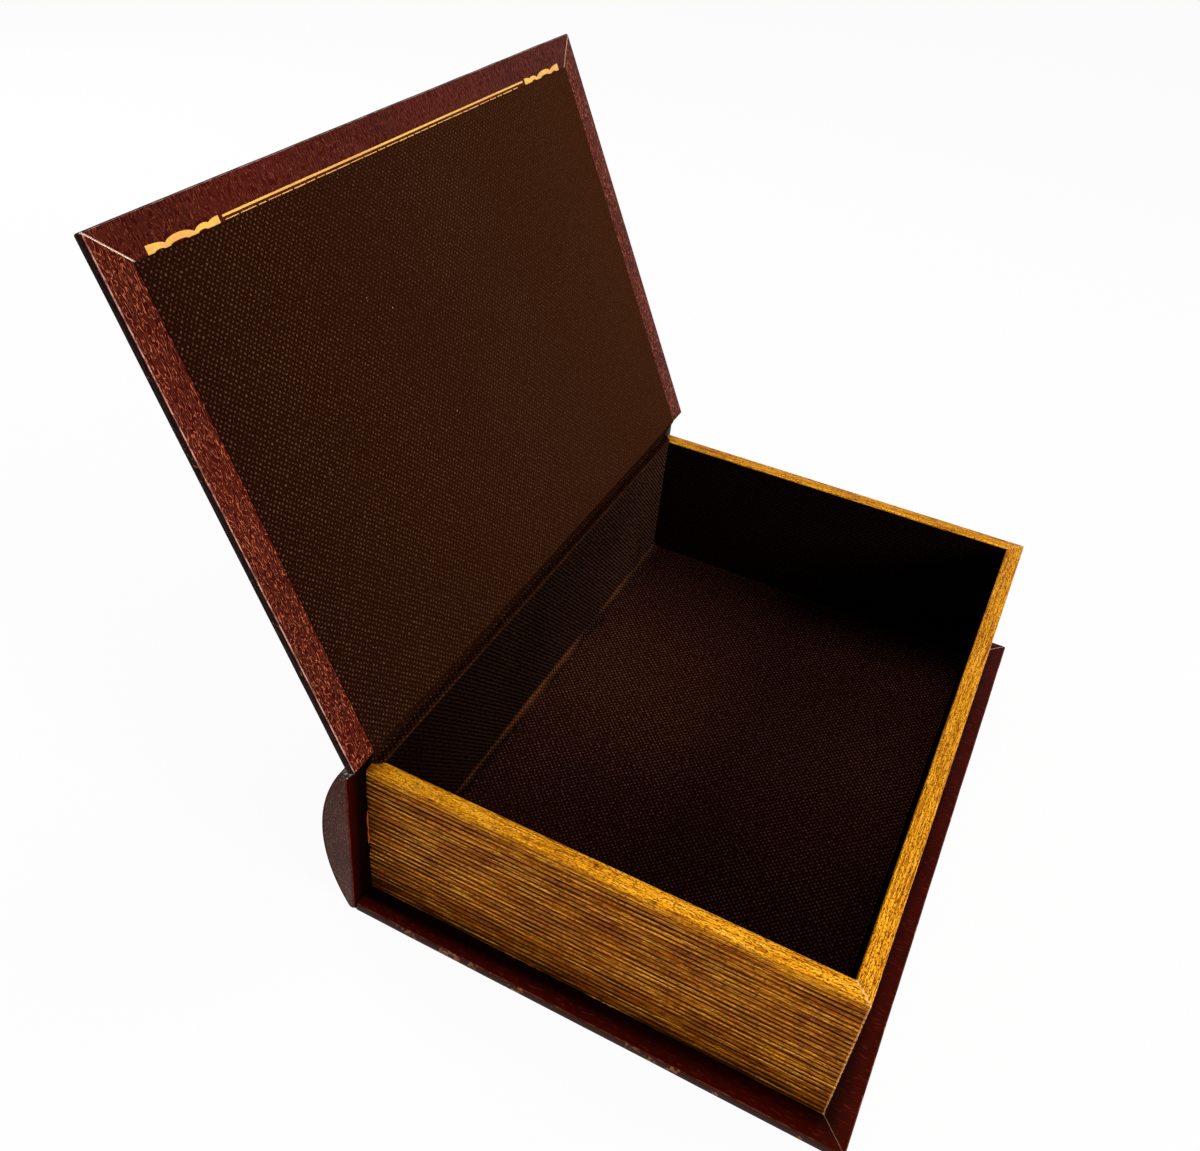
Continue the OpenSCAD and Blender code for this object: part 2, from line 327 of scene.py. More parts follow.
def off_course(tree, vector, scale, amount):
    """Moves the place that a pattern is read at a little, so that its lines wander."""
    drift = put(tree, "TexNoise", {"Vector": vector, "Scale": scale, "Detail": 2.0}).outputs[1]
    shift = put(tree, "VectorMath", {0: drift, 1: (0.5, 0.5, 0.5)}, operation="SUBTRACT").outputs[0]
    push = put(tree, "VectorMath", {0: shift, "Scale": amount}, operation="SCALE").outputs[0]
    return put(tree, "VectorMath", {0: vector, 1: push}, operation="ADD").outputs[0]


def contour(tree, value, level, half_width):
    """1 on a thin line where a value crosses the level, and 0 beside it."""
    away = maths(tree, "ABSOLUTE", maths(tree, "SUBTRACT", value, level))
    return spread(tree, away, half_width, half_width * 0.3)


def object_place(tree):
    return put(tree, "TexCoord").outputs["Object"]


def flat_place(tree, name):
    """The place on a piece's own flat map."""
    return put(tree, "UVMap", uv_map=name).outputs[0]


def stored(tree, name):
    """A number that the piece carries at its points."""
    return put(tree, "Attribute", attribute_name=name).outputs["Fac"]


def raised(tree, height, strength, depth):
    """The normal of a surface with this relief."""
    return put(tree, "Bump", {"Height": height, "Strength": strength, "Distance": depth}).outputs[0]


def new_group(name, takes, gives):
    """An empty node group. It takes numbers, and vectors where the value is a row or None."""
    group = bpy.data.node_groups.new(name, "ShaderNodeTree")
    for label, value in takes.items():
        kind = "NodeSocketFloat" if isinstance(value, float) else "NodeSocketVector"
        socket = group.interface.new_socket(name=label, in_out="INPUT", socket_type=kind)
        if value is not None:
            socket.default_value = value
    for label in gives:
        group.interface.new_socket(name=label, in_out="OUTPUT", socket_type="NodeSocketFloat")
    return group, group.nodes.new("NodeGroupInput").outputs, group.nodes.new("NodeGroupOutput")


def placed(tree, group, sockets):
    """Puts a finished group into a material."""
    return put(tree, "Group", sockets, node_tree=group).outputs


print("a noise of scale 1700 changes every", round(1000 / 1700, 2), "mm")

# %% [markdown]
# ## Leather
# The covers are bookbinding leather with a glazed finish. Up close it is a
# field of long narrow pebbles that run from the spine to the fore-edge. Their
# tops catch the light as thin pale strokes, some bright and some lost. Where
# the hide is turned in over the lid's edge it creases, and the glaze shines
# along the creases' fine wavy lines instead. Modelling either would take
# millions of faces. Noise drawn out along one axis gives both, so colour and
# relief agree: its peaks are the pebbles' tops, and a contour of it is a crease.
# Both kinds of stroke are highlights painted into the colour.

# %% Leather grain
PEBBLE_STRETCH = (0.2, 1.0, 1.0)


def make_leather_grain():
    takes = {"Vector": None, "Stretch": PEBBLE_STRETCH, "Size": 1700.0, "Creases": 0.0}
    group, given, made = new_group("leather grain", takes, ("Height", "PaintedHighlights"))
    size, creased = given["Size"], given["Creases"]
    wander = spread(group, creased, 0.0, 1.0, 0.0024, 0.0008)
    wandering = off_course(group, given["Vector"], 130.0, wander)
    drawn_out = stretched(group, wandering, given["Stretch"])
    pebbles = cloud(group, drawn_out, size, 0.0)
    tops = spread(group, pebbles, 0.6, 0.78)
    gleam = spread(group, cloud(group, drawn_out, times(group, size, 1.4), 1.0), 0.4, 0.62, 0.05, 1.0)
    creases = times(group, contour(group, pebbles, 0.5, 0.06), gleam)
    patches = spread(group, cloud(group, wandering, times(group, size, 0.12)), 0.3, 0.66, 0.75, 1.0)
    # Painted highlights: on the pebbles' tops, and along the creases where the hide is turned in.
    painted_highlights = times(group, spread(group, creased, 0.0, 1.0, tops, creases), patches)
    dress(group, made, {"Height": spread(group, pebbles, 0.3, 0.7), "PaintedHighlights": painted_highlights})
    return group


leather_grain = make_leather_grain()
print(leather_grain.name, "has", len(leather_grain.nodes), "nodes")

# %% [markdown]
# Where covers are handled, the glaze rubs off the edges and the pale hide
# shows through in short scuffs. Painting them by hand would tie them to one
# size. Instead each cover piece carries a value called `edge` at its points,
# which is 1 on the rounded rim and fades inwards, and noise breaks that rim
# into separate marks.

# %% Rubbed edges


def make_rubbed_edge():
    takes = {"Vector": None, "Edge": 0.0, "Amount": 0.5}
    group, given, made = new_group("rubbed edge", takes, ("Mask",))
    marks = cloud(group, stretched(group, given["Vector"], (1.0, 0.6, 1.0)), 900.0, 4.0, 0.65)
    lumps = spread(group, cloud(group, given["Vector"], 110.0), 0.45, 0.62)
    level = times(group, times(group, marks, lumps), given["Edge"])
    start = maths(group, "SUBTRACT", 0.62, times(group, given["Amount"], 0.3))
    dress(group, made, {"Mask": spread(group, level, start, plus(group, start, 0.06))})
    return group


rubbed_edge = make_rubbed_edge()
print(rubbed_edge.name, "has", len(rubbed_edge.nodes), "nodes")

# %% [markdown]
# Each leather has a dark body and a light colour for its strokes, which are
# painted highlights. Its gloss is tinted, because a red glaze reflects a white
# room in red. Each leather could be drawn up on its own, but one function with
# settings keeps them a family. The pieces carry a few numbers that it reads.
# By `edge`, the rounded edges get a painted highlight in a third colour, and the
# narrow sides are darker. By `foot`, the strip beside the walls' feet gets
# almost black painted shade. By `turned_in`, the painted highlights are strong
# on the leather turned in at the lid's tail and head, and weaker on the rest of the lid.

# %% Leather material
HIDE_SHADE, SCUFF, PAINTED_SHADE_AT_FOOT, GLAZE_TINT = "#180404", "#9a6848", "#060202", "#ffb090"
SHADE_SHARE, SIDE_SHARE, PAINTED_SHADE_SHARE = 0.4, 0.9, 0.97
GRAIN_DEPTH = 0.15 * MM


def leather(name, dark, light, rim, side="#0a0402", turn=0.0, stretch=PEBBLE_STRETCH, size=1700.0,
            relief=0.35, roughness=0.36, wear=0.35, lift=0.9, gloss=0.1, outer=1.0, creases=0.0,
            flat_map=None):
    """Glazed leather. Its pattern is turned about Y to lie with its cover, or follows a flat map."""
    material, tree, shader = new_material(name)
    place = flat_place(tree, flat_map) if flat_map else object_place(tree)
    lying = put(tree, "Mapping", {"Vector": place, "Rotation": (0.0, turn, 0.0)}).outputs[0]
    sockets = {"Vector": lying, "Stretch": stretch, "Size": size, "Creases": creases}
    grain = placed(tree, leather_grain, sockets)
    tone = spread(tree, cloud(tree, lying, 35.0, 3.0), 0.3, 0.7)
    body = mixed(tree, times(tree, tone, SHADE_SHARE), dark, HIDE_SHADE)
    # Painted highlights: the pebbles' tops a little lighter, and the strokes in the light colour.
    soft = mixed(tree, times(tree, grain["Height"], 0.04 * lift), body, light)
    share = spread(tree, stored(tree, "turned_in"), 0.0, 1.0, lift * outer, lift)
    hide = mixed(tree, times(tree, grain["PaintedHighlights"], share), soft, light)
    edge = stored(tree, "edge")
    beyond = spread(tree, edge, 0.88, 0.95)
    # Painted highlight: the third colour on the rounded edges, broken up by noise.
    rounding = maths(tree, "SUBTRACT", spread(tree, edge, 0.72, 0.82), beyond)
    painted_edge_highlight = times(tree, rounding, spread(tree, cloud(tree, lying, 300.0, 3.0), 0.4, 0.6, 0.2, 0.9))
    edged = mixed(tree, times(tree, beyond, SIDE_SHARE), mixed(tree, painted_edge_highlight, hide, rim), side)
    # Painted shade: by `foot`, the strip beside the walls' feet turns almost black.
    painted_lighting = spread(tree, stored(tree, "foot"), 0.2, 0.95, 0.0, PAINTED_SHADE_SHARE)
    painted_lighting_colour = mixed(tree, painted_lighting, edged, PAINTED_SHADE_AT_FOOT)
    worn = placed(tree, rubbed_edge, {"Vector": lying, "Edge": edge, "Amount": wear})[0]
    dull = plus(tree, plus(tree, times(tree, worn, 0.35), roughness), times(tree, tone, 0.06))
    dress(tree, shader, {"Base Color": mixed(tree, worn, painted_lighting_colour, SCUFF), "Roughness": dull,
                         "Normal": raised(tree, grain["Height"], relief, GRAIN_DEPTH),
                         "Specular IOR Level": gloss, "Specular Tint": paint(GLAZE_TINT)})
    return material


print("the grain is", round(GRAIN_DEPTH / MM, 2), "mm deep")

# %% The leathers of this box
lid_leather = leather("oxblood_lid", "#410c08", "#c86a46", "#d8a090", turn=lid_angle, stretch=(0.3, 1.0, 1.0),
                      size=1500.0, relief=0.6, gloss=0.032, wear=0.1, outer=0.3, creases=1.0)
base_leather = leather("oxblood_base", "#3e0903", "#5c1c0c", "#7a3a24", side="#3a2620", relief=0.12,
                       gloss=0.03, wear=0.52)
spine_leather = leather("oxblood_spine", "#400b0a", "#a06048", "#3c2422", stretch=(1.0, 0.25, 1.0),
                        relief=0.4, wear=0.0, gloss=0.04, outer=0.6)
# Painted shade: the spine's flat face, which faces the box, is a darker copy of the oxblood.
flat_leather_painted_shade = leather("oxblood_flat_painted_shade", "#280200", "#440f04", "#8a280a", relief=0.15, gloss=0.01, wear=0.0)
# Painted reflection: the caps' grey mauve stands for the white room seen in the glossy oxblood hide.
cap_leather_painted_reflection = leather("cap_painted_reflection", "#54302a", "#a07a68", "#8a6050", stretch=(1.0, 1.0, 0.4), size=2600.0,
                      relief=0.8, lift=0.5, gloss=0.03)
# Painted light: the fold inside the joint is a lighter copy of the oxblood, brightened though it lies in shadow.
fold_leather_painted_light = leather("oxblood_fold_painted_light", "#641e12", "#bc7858", "#bc7858", size=2600.0, relief=0.6, gloss=0.06,
                       flat_map="along")
# Painted light: a near-black body for the dark gap, with near-white painted highlights.
bunched_leather_painted_light = leather("bunched_leather_painted_light", "#180c0a", "#e8d8d4", "#e8d8d4", stretch=(0.09, 1.0, 1.0),
                          size=3600.0, relief=0.9, roughness=0.3, gloss=0.15, flat_map="along")


def raw_edge():
    """The pale cut edge of the hide."""
    material, tree, shader = new_material("cut_hide")
    fibres = cloud(tree, object_place(tree), 2500.0, 3.0)
    dress(tree, shader, {"Base Color": mixed(tree, fibres, "#c9a58c", "#f0dcc8"), "Roughness": 0.85})
    return material


cut_hide = raw_edge()
print("leathers:", sum("oxblood" in m.name for m in bpy.data.materials), "of oxblood")

# %% [markdown]
# ## Lining cloth
# The lining is a dark cloth with a dotted face: small raised dots in rows, each
# row half a step out from the next. A picture of the weave would need a seam
# somewhere. The product of two cosines has exactly that layout and no end. It
# follows each piece's own flat map in metres, so the rows stay straight where
# the cloth turns over the joint.

# %% Dotted weave
DOT_PITCH = 2.08 * MM


def make_dotted_weave():
    takes = {"Vector": None, "Pitch": DOT_PITCH, "Rows": 0.0}
    group, given, made = new_group("dotted weave", takes, ("Height", "Dots"))
    place = given["Vector"]
    parts = put(group, "SeparateXYZ", {0: off_course(group, place, 500.0, 0.0009)}).outputs
    turns = maths(group, "DIVIDE", 2 * math.pi, given["Pitch"])
    across, along = [maths(group, "COSINE", times(group, parts[i], turns)) for i in (0, 1)]
    lattice = times(group, across, along)
    rows = times(group, times(group, along, along), given["Rows"])
    uneven = plus(group, lattice, spread(group, cloud(group, place, 900.0), 0.3, 0.7, -0.4, 0.3))
    dots = spread(group, plus(group, uneven, rows), 0.3, 0.92)
    threads = times(group, cloud(group, place, 5000.0), 0.25)
    dress(group, made, {"Height": plus(group, dots, threads), "Dots": dots})
    return group


dotted_weave = make_dotted_weave()


def make_dust():
    """Sparse pale specks."""
    group, given, made = new_group("dust", {"Vector": None, "Spacing": 90.0}, ("Mask",))
    cells = put(group, "TexVoronoi", {"Vector": given["Vector"], "Scale": given["Spacing"]}).outputs
    chosen = maths(group, "GREATER_THAN", put(group, "SeparateXYZ", {0: cells["Color"]}).outputs[0], 0.82)
    speck = spread(group, cells["Distance"], 0.024, 0.014)
    dress(group, made, {"Mask": times(group, speck, chosen)})
    return group


dust = make_dust()
print("groups:", [g.name for g in bpy.data.node_groups])

# %% [markdown]
# The same cloth looks brown in the lid and almost black inside the box. That
# shade is painted: the floor and the walls get darker copies of the lid's
# cloth, with their dots partly hidden. Two numbers at the points of each piece
# add painted light: one is how far the dots stand out there, the other how much
# painted sheen lies on their tops. The cloth of the walls shows its rows as fine
# lines, because it is seen along them.

# %% Cloth material
DUST, DUST_SPACING = "#a08f78", 90.0
WEAVE_DEPTH = 0.12 * MM
CLOTH_ROUGHNESS = 0.55


def dotted_cloth(name, ground, dot, painted_lighting_colour, rows=0.0, hidden=0.0, ridge_shine=0.6):
    """The lining. A share hides its dots, as painted shade, and another lays a painted sheen on their tops."""
    material, tree, shader = new_material(name)
    flat = flat_place(tree, "cloth")
    weave = placed(tree, dotted_weave, {"Vector": flat, "Pitch": DOT_PITCH, "Rows": rows})
    specks = placed(tree, dust, {"Vector": flat, "Spacing": DUST_SPACING})[0]
    shade = spread(tree, cloud(tree, flat, 14.0, 3.0), 0.3, 0.7)
    single = spread(tree, cloud(tree, flat, 700.0, 1.0), 0.35, 0.75)
    bright = plus(tree, plus(tree, times(tree, shade, 0.3), times(tree, single, 0.55)), 0.27)
    # Painted light: the dots stand out more where the piece's number for it is higher.
    shown = times(tree, bright, plus(tree, stored(tree, "painted_dot_light"), 1.0 - hidden))
    woven = mixed(tree, times(tree, weave["Dots"], shown), ground, dot)
    # Painted sheen on the dots' tops, as much as the piece's number for it asks.
    ridge = spread(tree, weave["Dots"], 0.0, 1.0, 0.2, ridge_shine)
    with_painted_sheen = mixed(tree, times(tree, stored(tree, "painted_lighting"), ridge), woven, painted_lighting_colour)
    dull = maths(tree, "SUBTRACT", CLOTH_ROUGHNESS, times(tree, weave["Dots"], 0.1))
    dress(tree, shader, {"Base Color": mixed(tree, specks, with_painted_sheen, DUST), "Roughness": dull,
                         "Normal": raised(tree, weave["Height"], 0.5, WEAVE_DEPTH),
                         "Specular IOR Level": 0.0})
    return material


lining_cloth = dotted_cloth("dotted_lining", "#1f0b04", "#583c2c", "#8c5230", ridge_shine=0.28)
# Painted shade: the floor's and the walls' cloths are darker copies of the lid's, their dots partly hidden.
floor_cloth_painted_shade = dotted_cloth("dotted_floor_lining_painted_shade", "#190805", "#704436", "#8c5038", hidden=0.2)
wall_cloth_painted_shade = dotted_cloth("dotted_wall_lining_painted_shade", "#070302", "#603e2e", "#b06638", rows=0.8, hidden=0.85)
print("cloths:", [m.name for m in (lining_cloth, floor_cloth_painted_shade, wall_cloth_painted_shade)])

# %% [markdown]
# ## Old gold on wood
# The page edges are a ribbed wooden moulding, painted gold and then rubbed with
# a dark brown wash that stays in the grooves. Long thin streaks of the wash run
# with the ribs, with short dark dashes among them, and pale streaks between are
# painted highlights. A wood texture in object space would run straight through
# the mitres, so the pattern follows a map that unrolls the moulding: its first
# number runs along the wall, its second across the ribs.

# %% Washed gold


def make_washed_gold():
    takes = {"Vector": None, "Groove": 0.0}
    group, given, made = new_group("washed gold", takes, ("Wash", "Tone", "PaintedGoldHighlight", "Height"))
    place = off_course(group, given["Vector"], 60.0, 0.0004)

    def drawn(along, across, detail, roughness=0.5):
        """Noise with so many changes a metre along the wall and across its ribs."""
        return cloud(group, stretched(group, place, (along, across, 0.0)), 1.0, detail, roughness)

    streaks = drawn(45.0, 1500.0, 4.0, 0.7)
    dashes = drawn(300.0, 2600.0, 2.0, 0.6)
    ticks = drawn(1000.0, 3200.0, 1.0)
    patches = drawn(40.0, 160.0, 3.0, 0.6)
    mottled = plus(group, times(group, streaks, 0.65), times(group, dashes, 0.35))
    rubbed = plus(group, mottled, times(group, patches, 0.22))
    deepened = times(group, given["Groove"], spread(group, patches, 0.35, 0.65, 0.75, 1.05))
    held = plus(group, deepened, maths(group, "SUBTRACT", rubbed, 0.61))
    marks = times(group, spread(group, dashes, 0.57, 0.66), 0.75)
    short = times(group, spread(group, ticks, 0.52, 0.62), 0.75)
    wash = maths(group, "MAXIMUM", spread(group, held, 0.38, 0.72), maths(group, "MAXIMUM", marks, short))
    warmed = plus(group, rubbed, times(group, given["Groove"], 0.25))
    sunk = maths(group, "SUBTRACT", mottled, times(group, wash, 0.4))
    # The pale streaks between the wash are painted highlights.
    dress(group, made, {"Wash": wash, "Tone": spread(group, warmed, 0.51, 0.75),
                        "PaintedGoldHighlight": spread(group, streaks, 0.46, 0.34), "Height": sunk})
    return group


washed_gold = make_washed_gold()
print(washed_gold.name, "has", len(washed_gold.nodes), "nodes")

# %% Gilt wood
GOLD_TINT = "#ffc060"
GOLD_METAL = 0.35


def gilt_wood(name, bright, deep, wash, highlight_colour):
    material, tree, shader = new_material(name)
    gold = placed(tree, washed_gold, {"Vector": flat_place(tree, "run"), "Groove": stored(tree, "groove")})
    base = mixed(tree, gold["Tone"], bright, deep)
    # Painted highlights: the pale streaks in the highlight colour.
    lit = mixed(tree, times(tree, gold["PaintedGoldHighlight"], 0.7), base, highlight_colour)
    bare = maths(tree, "SUBTRACT", GOLD_METAL, times(tree, gold["Wash"], GOLD_METAL))
    dress(tree, shader, {"Base Color": mixed(tree, gold["Wash"], lit, wash),
                         "Roughness": plus(tree, times(tree, gold["Wash"], 0.3), 0.38), "Metallic": bare,
                         "Normal": raised(tree, gold["Height"], 0.5, GRAIN_DEPTH),
                         "Specular IOR Level": 0.12, "Specular Tint": paint(GOLD_TINT)})
    return material


ribbed_gold = gilt_wood("washed_gold", "#ffae1c", "#964600", "#240a00", "#ffc04c")
# The mitres' strips are pale gold: a painted highlight on the cut's edge.
mitre_highlight_gold = gilt_wood("mitre_painted_highlight", "#f8c080", "#e09850", "#a06830", "#ffe0b0")
print("gilt woods:", ribbed_gold.name, mitre_highlight_gold.name)

# %% [markdown]
# The border is gold leaf pressed into the leather. It is thin and worn, so it
# is more a warm yellow paint than a mirror. Board, glue and bare wood only show
# in gaps, and a plain pair of colours is enough for each.

# %% Gold leaf, board, glue and bare wood


def gold_leaf():
    material, tree, shader = new_material("gold_leaf")
    place = object_place(tree)
    worn = spread(tree, cloud(tree, place, 1500.0, 3.0), 0.25, 0.5)
    warm = spread(tree, cloud(tree, place, 55.0, 3.0, 0.7), 0.45, 0.62, 0.0, 0.4)
    leaf = mixed(tree, warm, mixed(tree, worn, "#dca048", "#f0bc50"), "#e08a4c")
    gloss = spread(tree, cloud(tree, place, 300.0), 0.3, 0.7, 0.36, 0.5)
    dress(tree, shader, {"Base Color": leaf, "Roughness": gloss, "Metallic": 0.3})
    return material


def plain_stock(name, dark, light, stretch, size, roughness):
    material, tree, shader = new_material(name)
    place = stretched(tree, object_place(tree), stretch)
    dress(tree, shader, {"Base Color": mixed(tree, cloud(tree, place, size, 4.0), dark, light),
                         "Roughness": roughness, "Specular IOR Level": 0.15})
    return material


tooled_gold = gold_leaf()
board_grey = plain_stock("binders_board", "#f0dcc0", "#fff4e4", (1.0, 1.0, 1.0), 900.0, 0.9)
amber_glue = plain_stock("amber_glue", "#8a3204", "#c4580c", (1.0, 1.0, 0.3), 1500.0, 0.4)
bare_wood = plain_stock("bare_wood", "#8a5a2c", "#c08a4c", (1.0, 0.08, 1.0), 500.0, 0.7)

for node, stock in (("lid_board", board_grey), ("base_board", board_grey), ("spine_block", bare_wood),
                    ("spine_wall", bare_wood)):
    frame["nodes"][node].data.materials.clear()
    frame["nodes"][node].data.materials.append(stock)
print("materials:", len(bpy.data.materials))

# %% [markdown]
# ## Making pieces
# A piece could be modelled by hand and saved, but a script that starts from a
# few points can be read, changed and run again. Each piece starts as a bmesh,
# is shaped by operators, and ends here: the mesh gets its materials and its
# soft and sharp edges, rides on a body, and takes the place of the plain node
# that it details.

# %% From bmesh to piece
SHARP = math.radians(38)


def finished(name, bm, materials, body, nodes, sharp=SHARP):
    """Makes the object, in place and at the origin, and hides the nodes that it stands for."""
    mesh = bpy.data.meshes.new(name)
    bm.to_mesh(mesh)
    bm.free()
    for material in materials:
        mesh.materials.append(material)
    mesh.shade_smooth()
    mesh.set_sharp_from_angle(angle=sharp)
    piece = add_object(name, mesh)
    if body:
        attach(piece, body)
    if nodes:
        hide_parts(*nodes)
    print(name, len(mesh.polygons), "faces")
    return piece


print("edges sharper than", round(math.degrees(SHARP)), "degrees stay sharp")

# %% [markdown]
# The same few moves come again and again: pushing an outline out, rounding an
# edge, cutting new edges with a plane, and pushing points about by a smooth
# noise. Blender's noise vectors start from the clock unless they get a seed, so
# they get one here, and every run makes the same box.

# %% Helpers for shaping
NOISE_SEED = 3
ALONG_X, ALONG_Y = Vector((1.0, 0.0, 0.0)), Vector((0.0, 1.0, 0.0))
CUT_TOLERANCE = 1e-7
noise.seed_set(NOISE_SEED)


def moved(bm, matrix):
    bmesh.ops.transform(bm, matrix=matrix, verts=bm.verts)


def pushed_out(bm, shift, edges=None):
    """Extrudes the given edges, or else every face, along a shift."""
    if edges is None:
        made = bmesh.ops.extrude_face_region(bm, geom=bm.faces[:])
    else:
        made = bmesh.ops.extrude_edge_only(bm, edges=edges)
    bmesh.ops.translate(bm, vec=shift, verts=[g for g in made["geom"] if isinstance(g, bmesh.types.BMVert)])


def eased(bm, edges, size, segments):
    """Rounds edges over."""
    bmesh.ops.bevel(bm, geom=edges, offset=size, offset_type="OFFSET", segments=segments, profile=0.5,
                    affect="EDGES", material=-1, clamp_overlap=True)


def score(bm, point, normal, faces=None):
    """Cuts new edges where a plane crosses the faces."""
    chosen = bm.faces[:] if faces is None else faces
    parts = chosen + [e for f in chosen for e in f.edges] + [v for f in chosen for v in f.verts]
    geom = list(dict.fromkeys(parts))
    bmesh.ops.bisect_plane(bm, geom=geom, plane_co=point, plane_no=normal, dist=CUT_TOLERANCE)


def score_rows(bm, normal, start, end, step):
    """Cuts evenly spaced edges across one axis."""
    count = max(1, round((end - start) / step))
    for i in range(1, count):
        score(bm, normal * (start + (end - start) * i / count), normal)


def arc(centre, radius, start, end, steps):
    """Points of an arc. Angles in degrees from the first axis."""
    angles = [math.radians(start + (end - start) * i / steps) for i in range(steps + 1)]
    return [(centre[0] + radius * math.cos(a), centre[1] + radius * math.sin(a)) for a in angles]


def ripple(x, y=0.0, z=0.0):
    """A smooth random number, mostly between -1 and 1, that depends on the place alone."""
    return noise.noise(Vector((x, y, z)))


def mark(bm, name, rule):
    """Keeps a number at every point of a piece, worked out from where the point lies."""
    layer = bm.verts.layers.float.new(name)
    for vert in bm.verts:
        vert[layer] = rule(vert.co)


def map_flat(bm, name, rule):
    """Gives a piece a flat map, whose two numbers are worked out from each point."""
    flat = bm.loops.layers.uv.new(name)
    for face in bm.faces:
        for loop in face.loops:
            loop[flat].uv = rule(loop.vert)


print("a quarter circle in 3 steps:", [(round(x, 2), round(y, 2)) for x, y in arc((0, 0), 1, 0, 90, 3)])

# %% [markdown]
# ## Ribbed mouldings
# The three walls are lengths of one moulding, mitred where they meet. The ribs
# could be a bump pattern on a plain block, but then the rims and the mitres
# would show straight outlines. So the section is drawn once, like the shape of
# a joiner's cutter: up the plain inner face, over the eased rim, and down the
# ribs. No two ribs are quite alike, so each groove gets its own depth and
# place, and some ribs a second faint line.

# %% Section of the moulding
BAND = 3.0 * MM
RIB_PITCH = 2.27 * MM
PITCH_SLIP = 0.22
GROOVE = 0.5 * MM
EASE = 0.5 * MM
FAINT_LINE = 1.4 * MM
FAINT_HALF = 0.25 * MM
SLIGHT = 0.1 * MM
RIB_STEPS = 6
LINE_DEPTH = 0.22 * MM
SOFT_BELOW = 24 * MM


def rim_section():
    """The plain inner face, the eased rim, and the faint line under it."""
    inner = arc((wall_thick - EASE, wall_height - EASE), EASE, 0, 90, 3)
    outer = arc((EASE, wall_height - EASE), EASE, 90, 180, 3)
    flat = [(wall_thick * share, wall_height) for share in (0.7, 0.5, 0.3)]
    faint = wall_height - FAINT_LINE
    line = [(0.0, faint + FAINT_HALF, 0.1), (SLIGHT, faint, 0.65), (0.0, faint - FAINT_HALF, 0.1)]
    return [(wall_thick, 0.0, 0.3)] + [(*point, 0.0) for point in inner + flat + outer] + line


def moulding_section(seed):
    """Points (depth, height, groove) round the section. The groove value is 1 at a groove's bottom."""
    chance = random.Random(seed)
    points = rim_section()
    last_top = wall_height - BAND
    count = int((wall_height - BAND - GROOVE) / RIB_PITCH) + 1
    grooves = []
    for i in range(count):
        height = last_top - i * RIB_PITCH + chance.uniform(-PITCH_SLIP, PITCH_SLIP) * MM
        grooves.append((height, chance.uniform(0.4, 1.0) * GROOVE))
    points.append((0.0, grooves[0][0] + 0.6 * GROOVE, 0.1))
    for (height, depth), (next_height, next_depth) in zip(grooves, grooves[1:]):
        nick = chance.choice((0, 2, 3, 3, 4))
        power = 0.3 + 0.5 * min(1.0, height / SOFT_BELOW)
        for k in range(RIB_STEPS):
            share = k / RIB_STEPS
            dip = 1 - math.sin(math.pi * share)
            line = 0.5 if k == nick and k else 0.0
            points.append(((depth * (1 - share) + next_depth * share) * dip + line * LINE_DEPTH,
                           height + (next_height - height) * share, max(dip ** power, line, 0.06)))
    last_height, last_depth = grooves[-1]
    points += [(last_depth, last_height, 1.0), (0.0, last_height - GROOVE, 0.2), (SLIGHT, 0.0, 0.4)]
    return points


print("points round the moulding:", len(moulding_section(1)))

# %% [markdown]
# The section is pushed out to the wall's length and cut at 45 degrees with a
# plane, as a joiner cuts a mitre. The cut's sharp edge gets a painted
# highlight, so a narrow strip beside it gets a material of its own. Painted
# shade darkens the square end beside the spine and along the foot, and it is
# easier to keep as a number at each point than to paint.

# %% Push the section out and mitre it
MITRE_LINE = 0.28 * MM
END_GAP = 0.55 * MM


def mitre(bm, corner, outwards):
    """Cuts one end off, closes it, and scores the strip beside it."""
    made = bmesh.ops.bisect_plane(bm, geom=bm.verts[:] + bm.edges[:] + bm.faces[:], plane_co=corner,
                                  plane_no=outwards, clear_outer=True, dist=CUT_TOLERANCE)
    rim = [g for g in made["geom_cut"] if isinstance(g, bmesh.types.BMEdge)]
    bmesh.ops.contextual_create(bm, geom=rim)
    score(bm, corner - outwards * MITRE_LINE, outwards)


def shade_square_end(bm, groove, seed):
    """Raises the groove value beside the spine and along the foot, which paints shade there, and makes the end
    uneven.
    """
    for vert in bm.verts:
        if vert.co.y < wall_thick / 2:
            # Painted shade: the grooves darker towards the spine, and the very end dark all over.
            fading = max(0.0, 1.0 - vert.co.x / (40 * MM))
            vert[groove] = max(min(1.1, vert[groove] * (1 + 0.35 * fading)), 0.8 - vert.co.x / (3.5 * MM))
            # Painted shade along the foot, reaching higher near the spine.
            painted_shade_height = 4.0 * MM + 4.0 * MM * max(0.0, 1.0 - vert.co.x / (60 * MM))
            ragged = 0.5 + 0.35 * ripple(vert.co.x / (9 * MM), vert.co.z / (2 * MM), seed + 9.0)
            vert[groove] += (1.0 - vert[groove]) * ragged * max(0.0, 1.0 - vert.co.z / painted_shade_height)
        if vert.co.x < MM / 10:
            vert.co.x += END_GAP * (1.0 + ripple(0.0, vert.co.z / (9 * MM), seed))


def waver_ribs(bm, groove, seed):
    """Bends the ribs a little along their length, as those of a hand-cut moulding are."""
    for vert in bm.verts:
        if vert.co.y < wall_thick / 2 and vert.co.z < wall_height - BAND / 2:
            push = ripple(vert.co.x / (14 * MM), vert.co.z / (3 * MM), seed)
            vert.co.y = max(0.0, vert.co.y + push * 0.12 * MM * vert[groove])
            vert.co.z += ripple(vert.co.x / (30 * MM), vert.co.z / (9 * MM), seed + 5.0) * 0.09 * MM


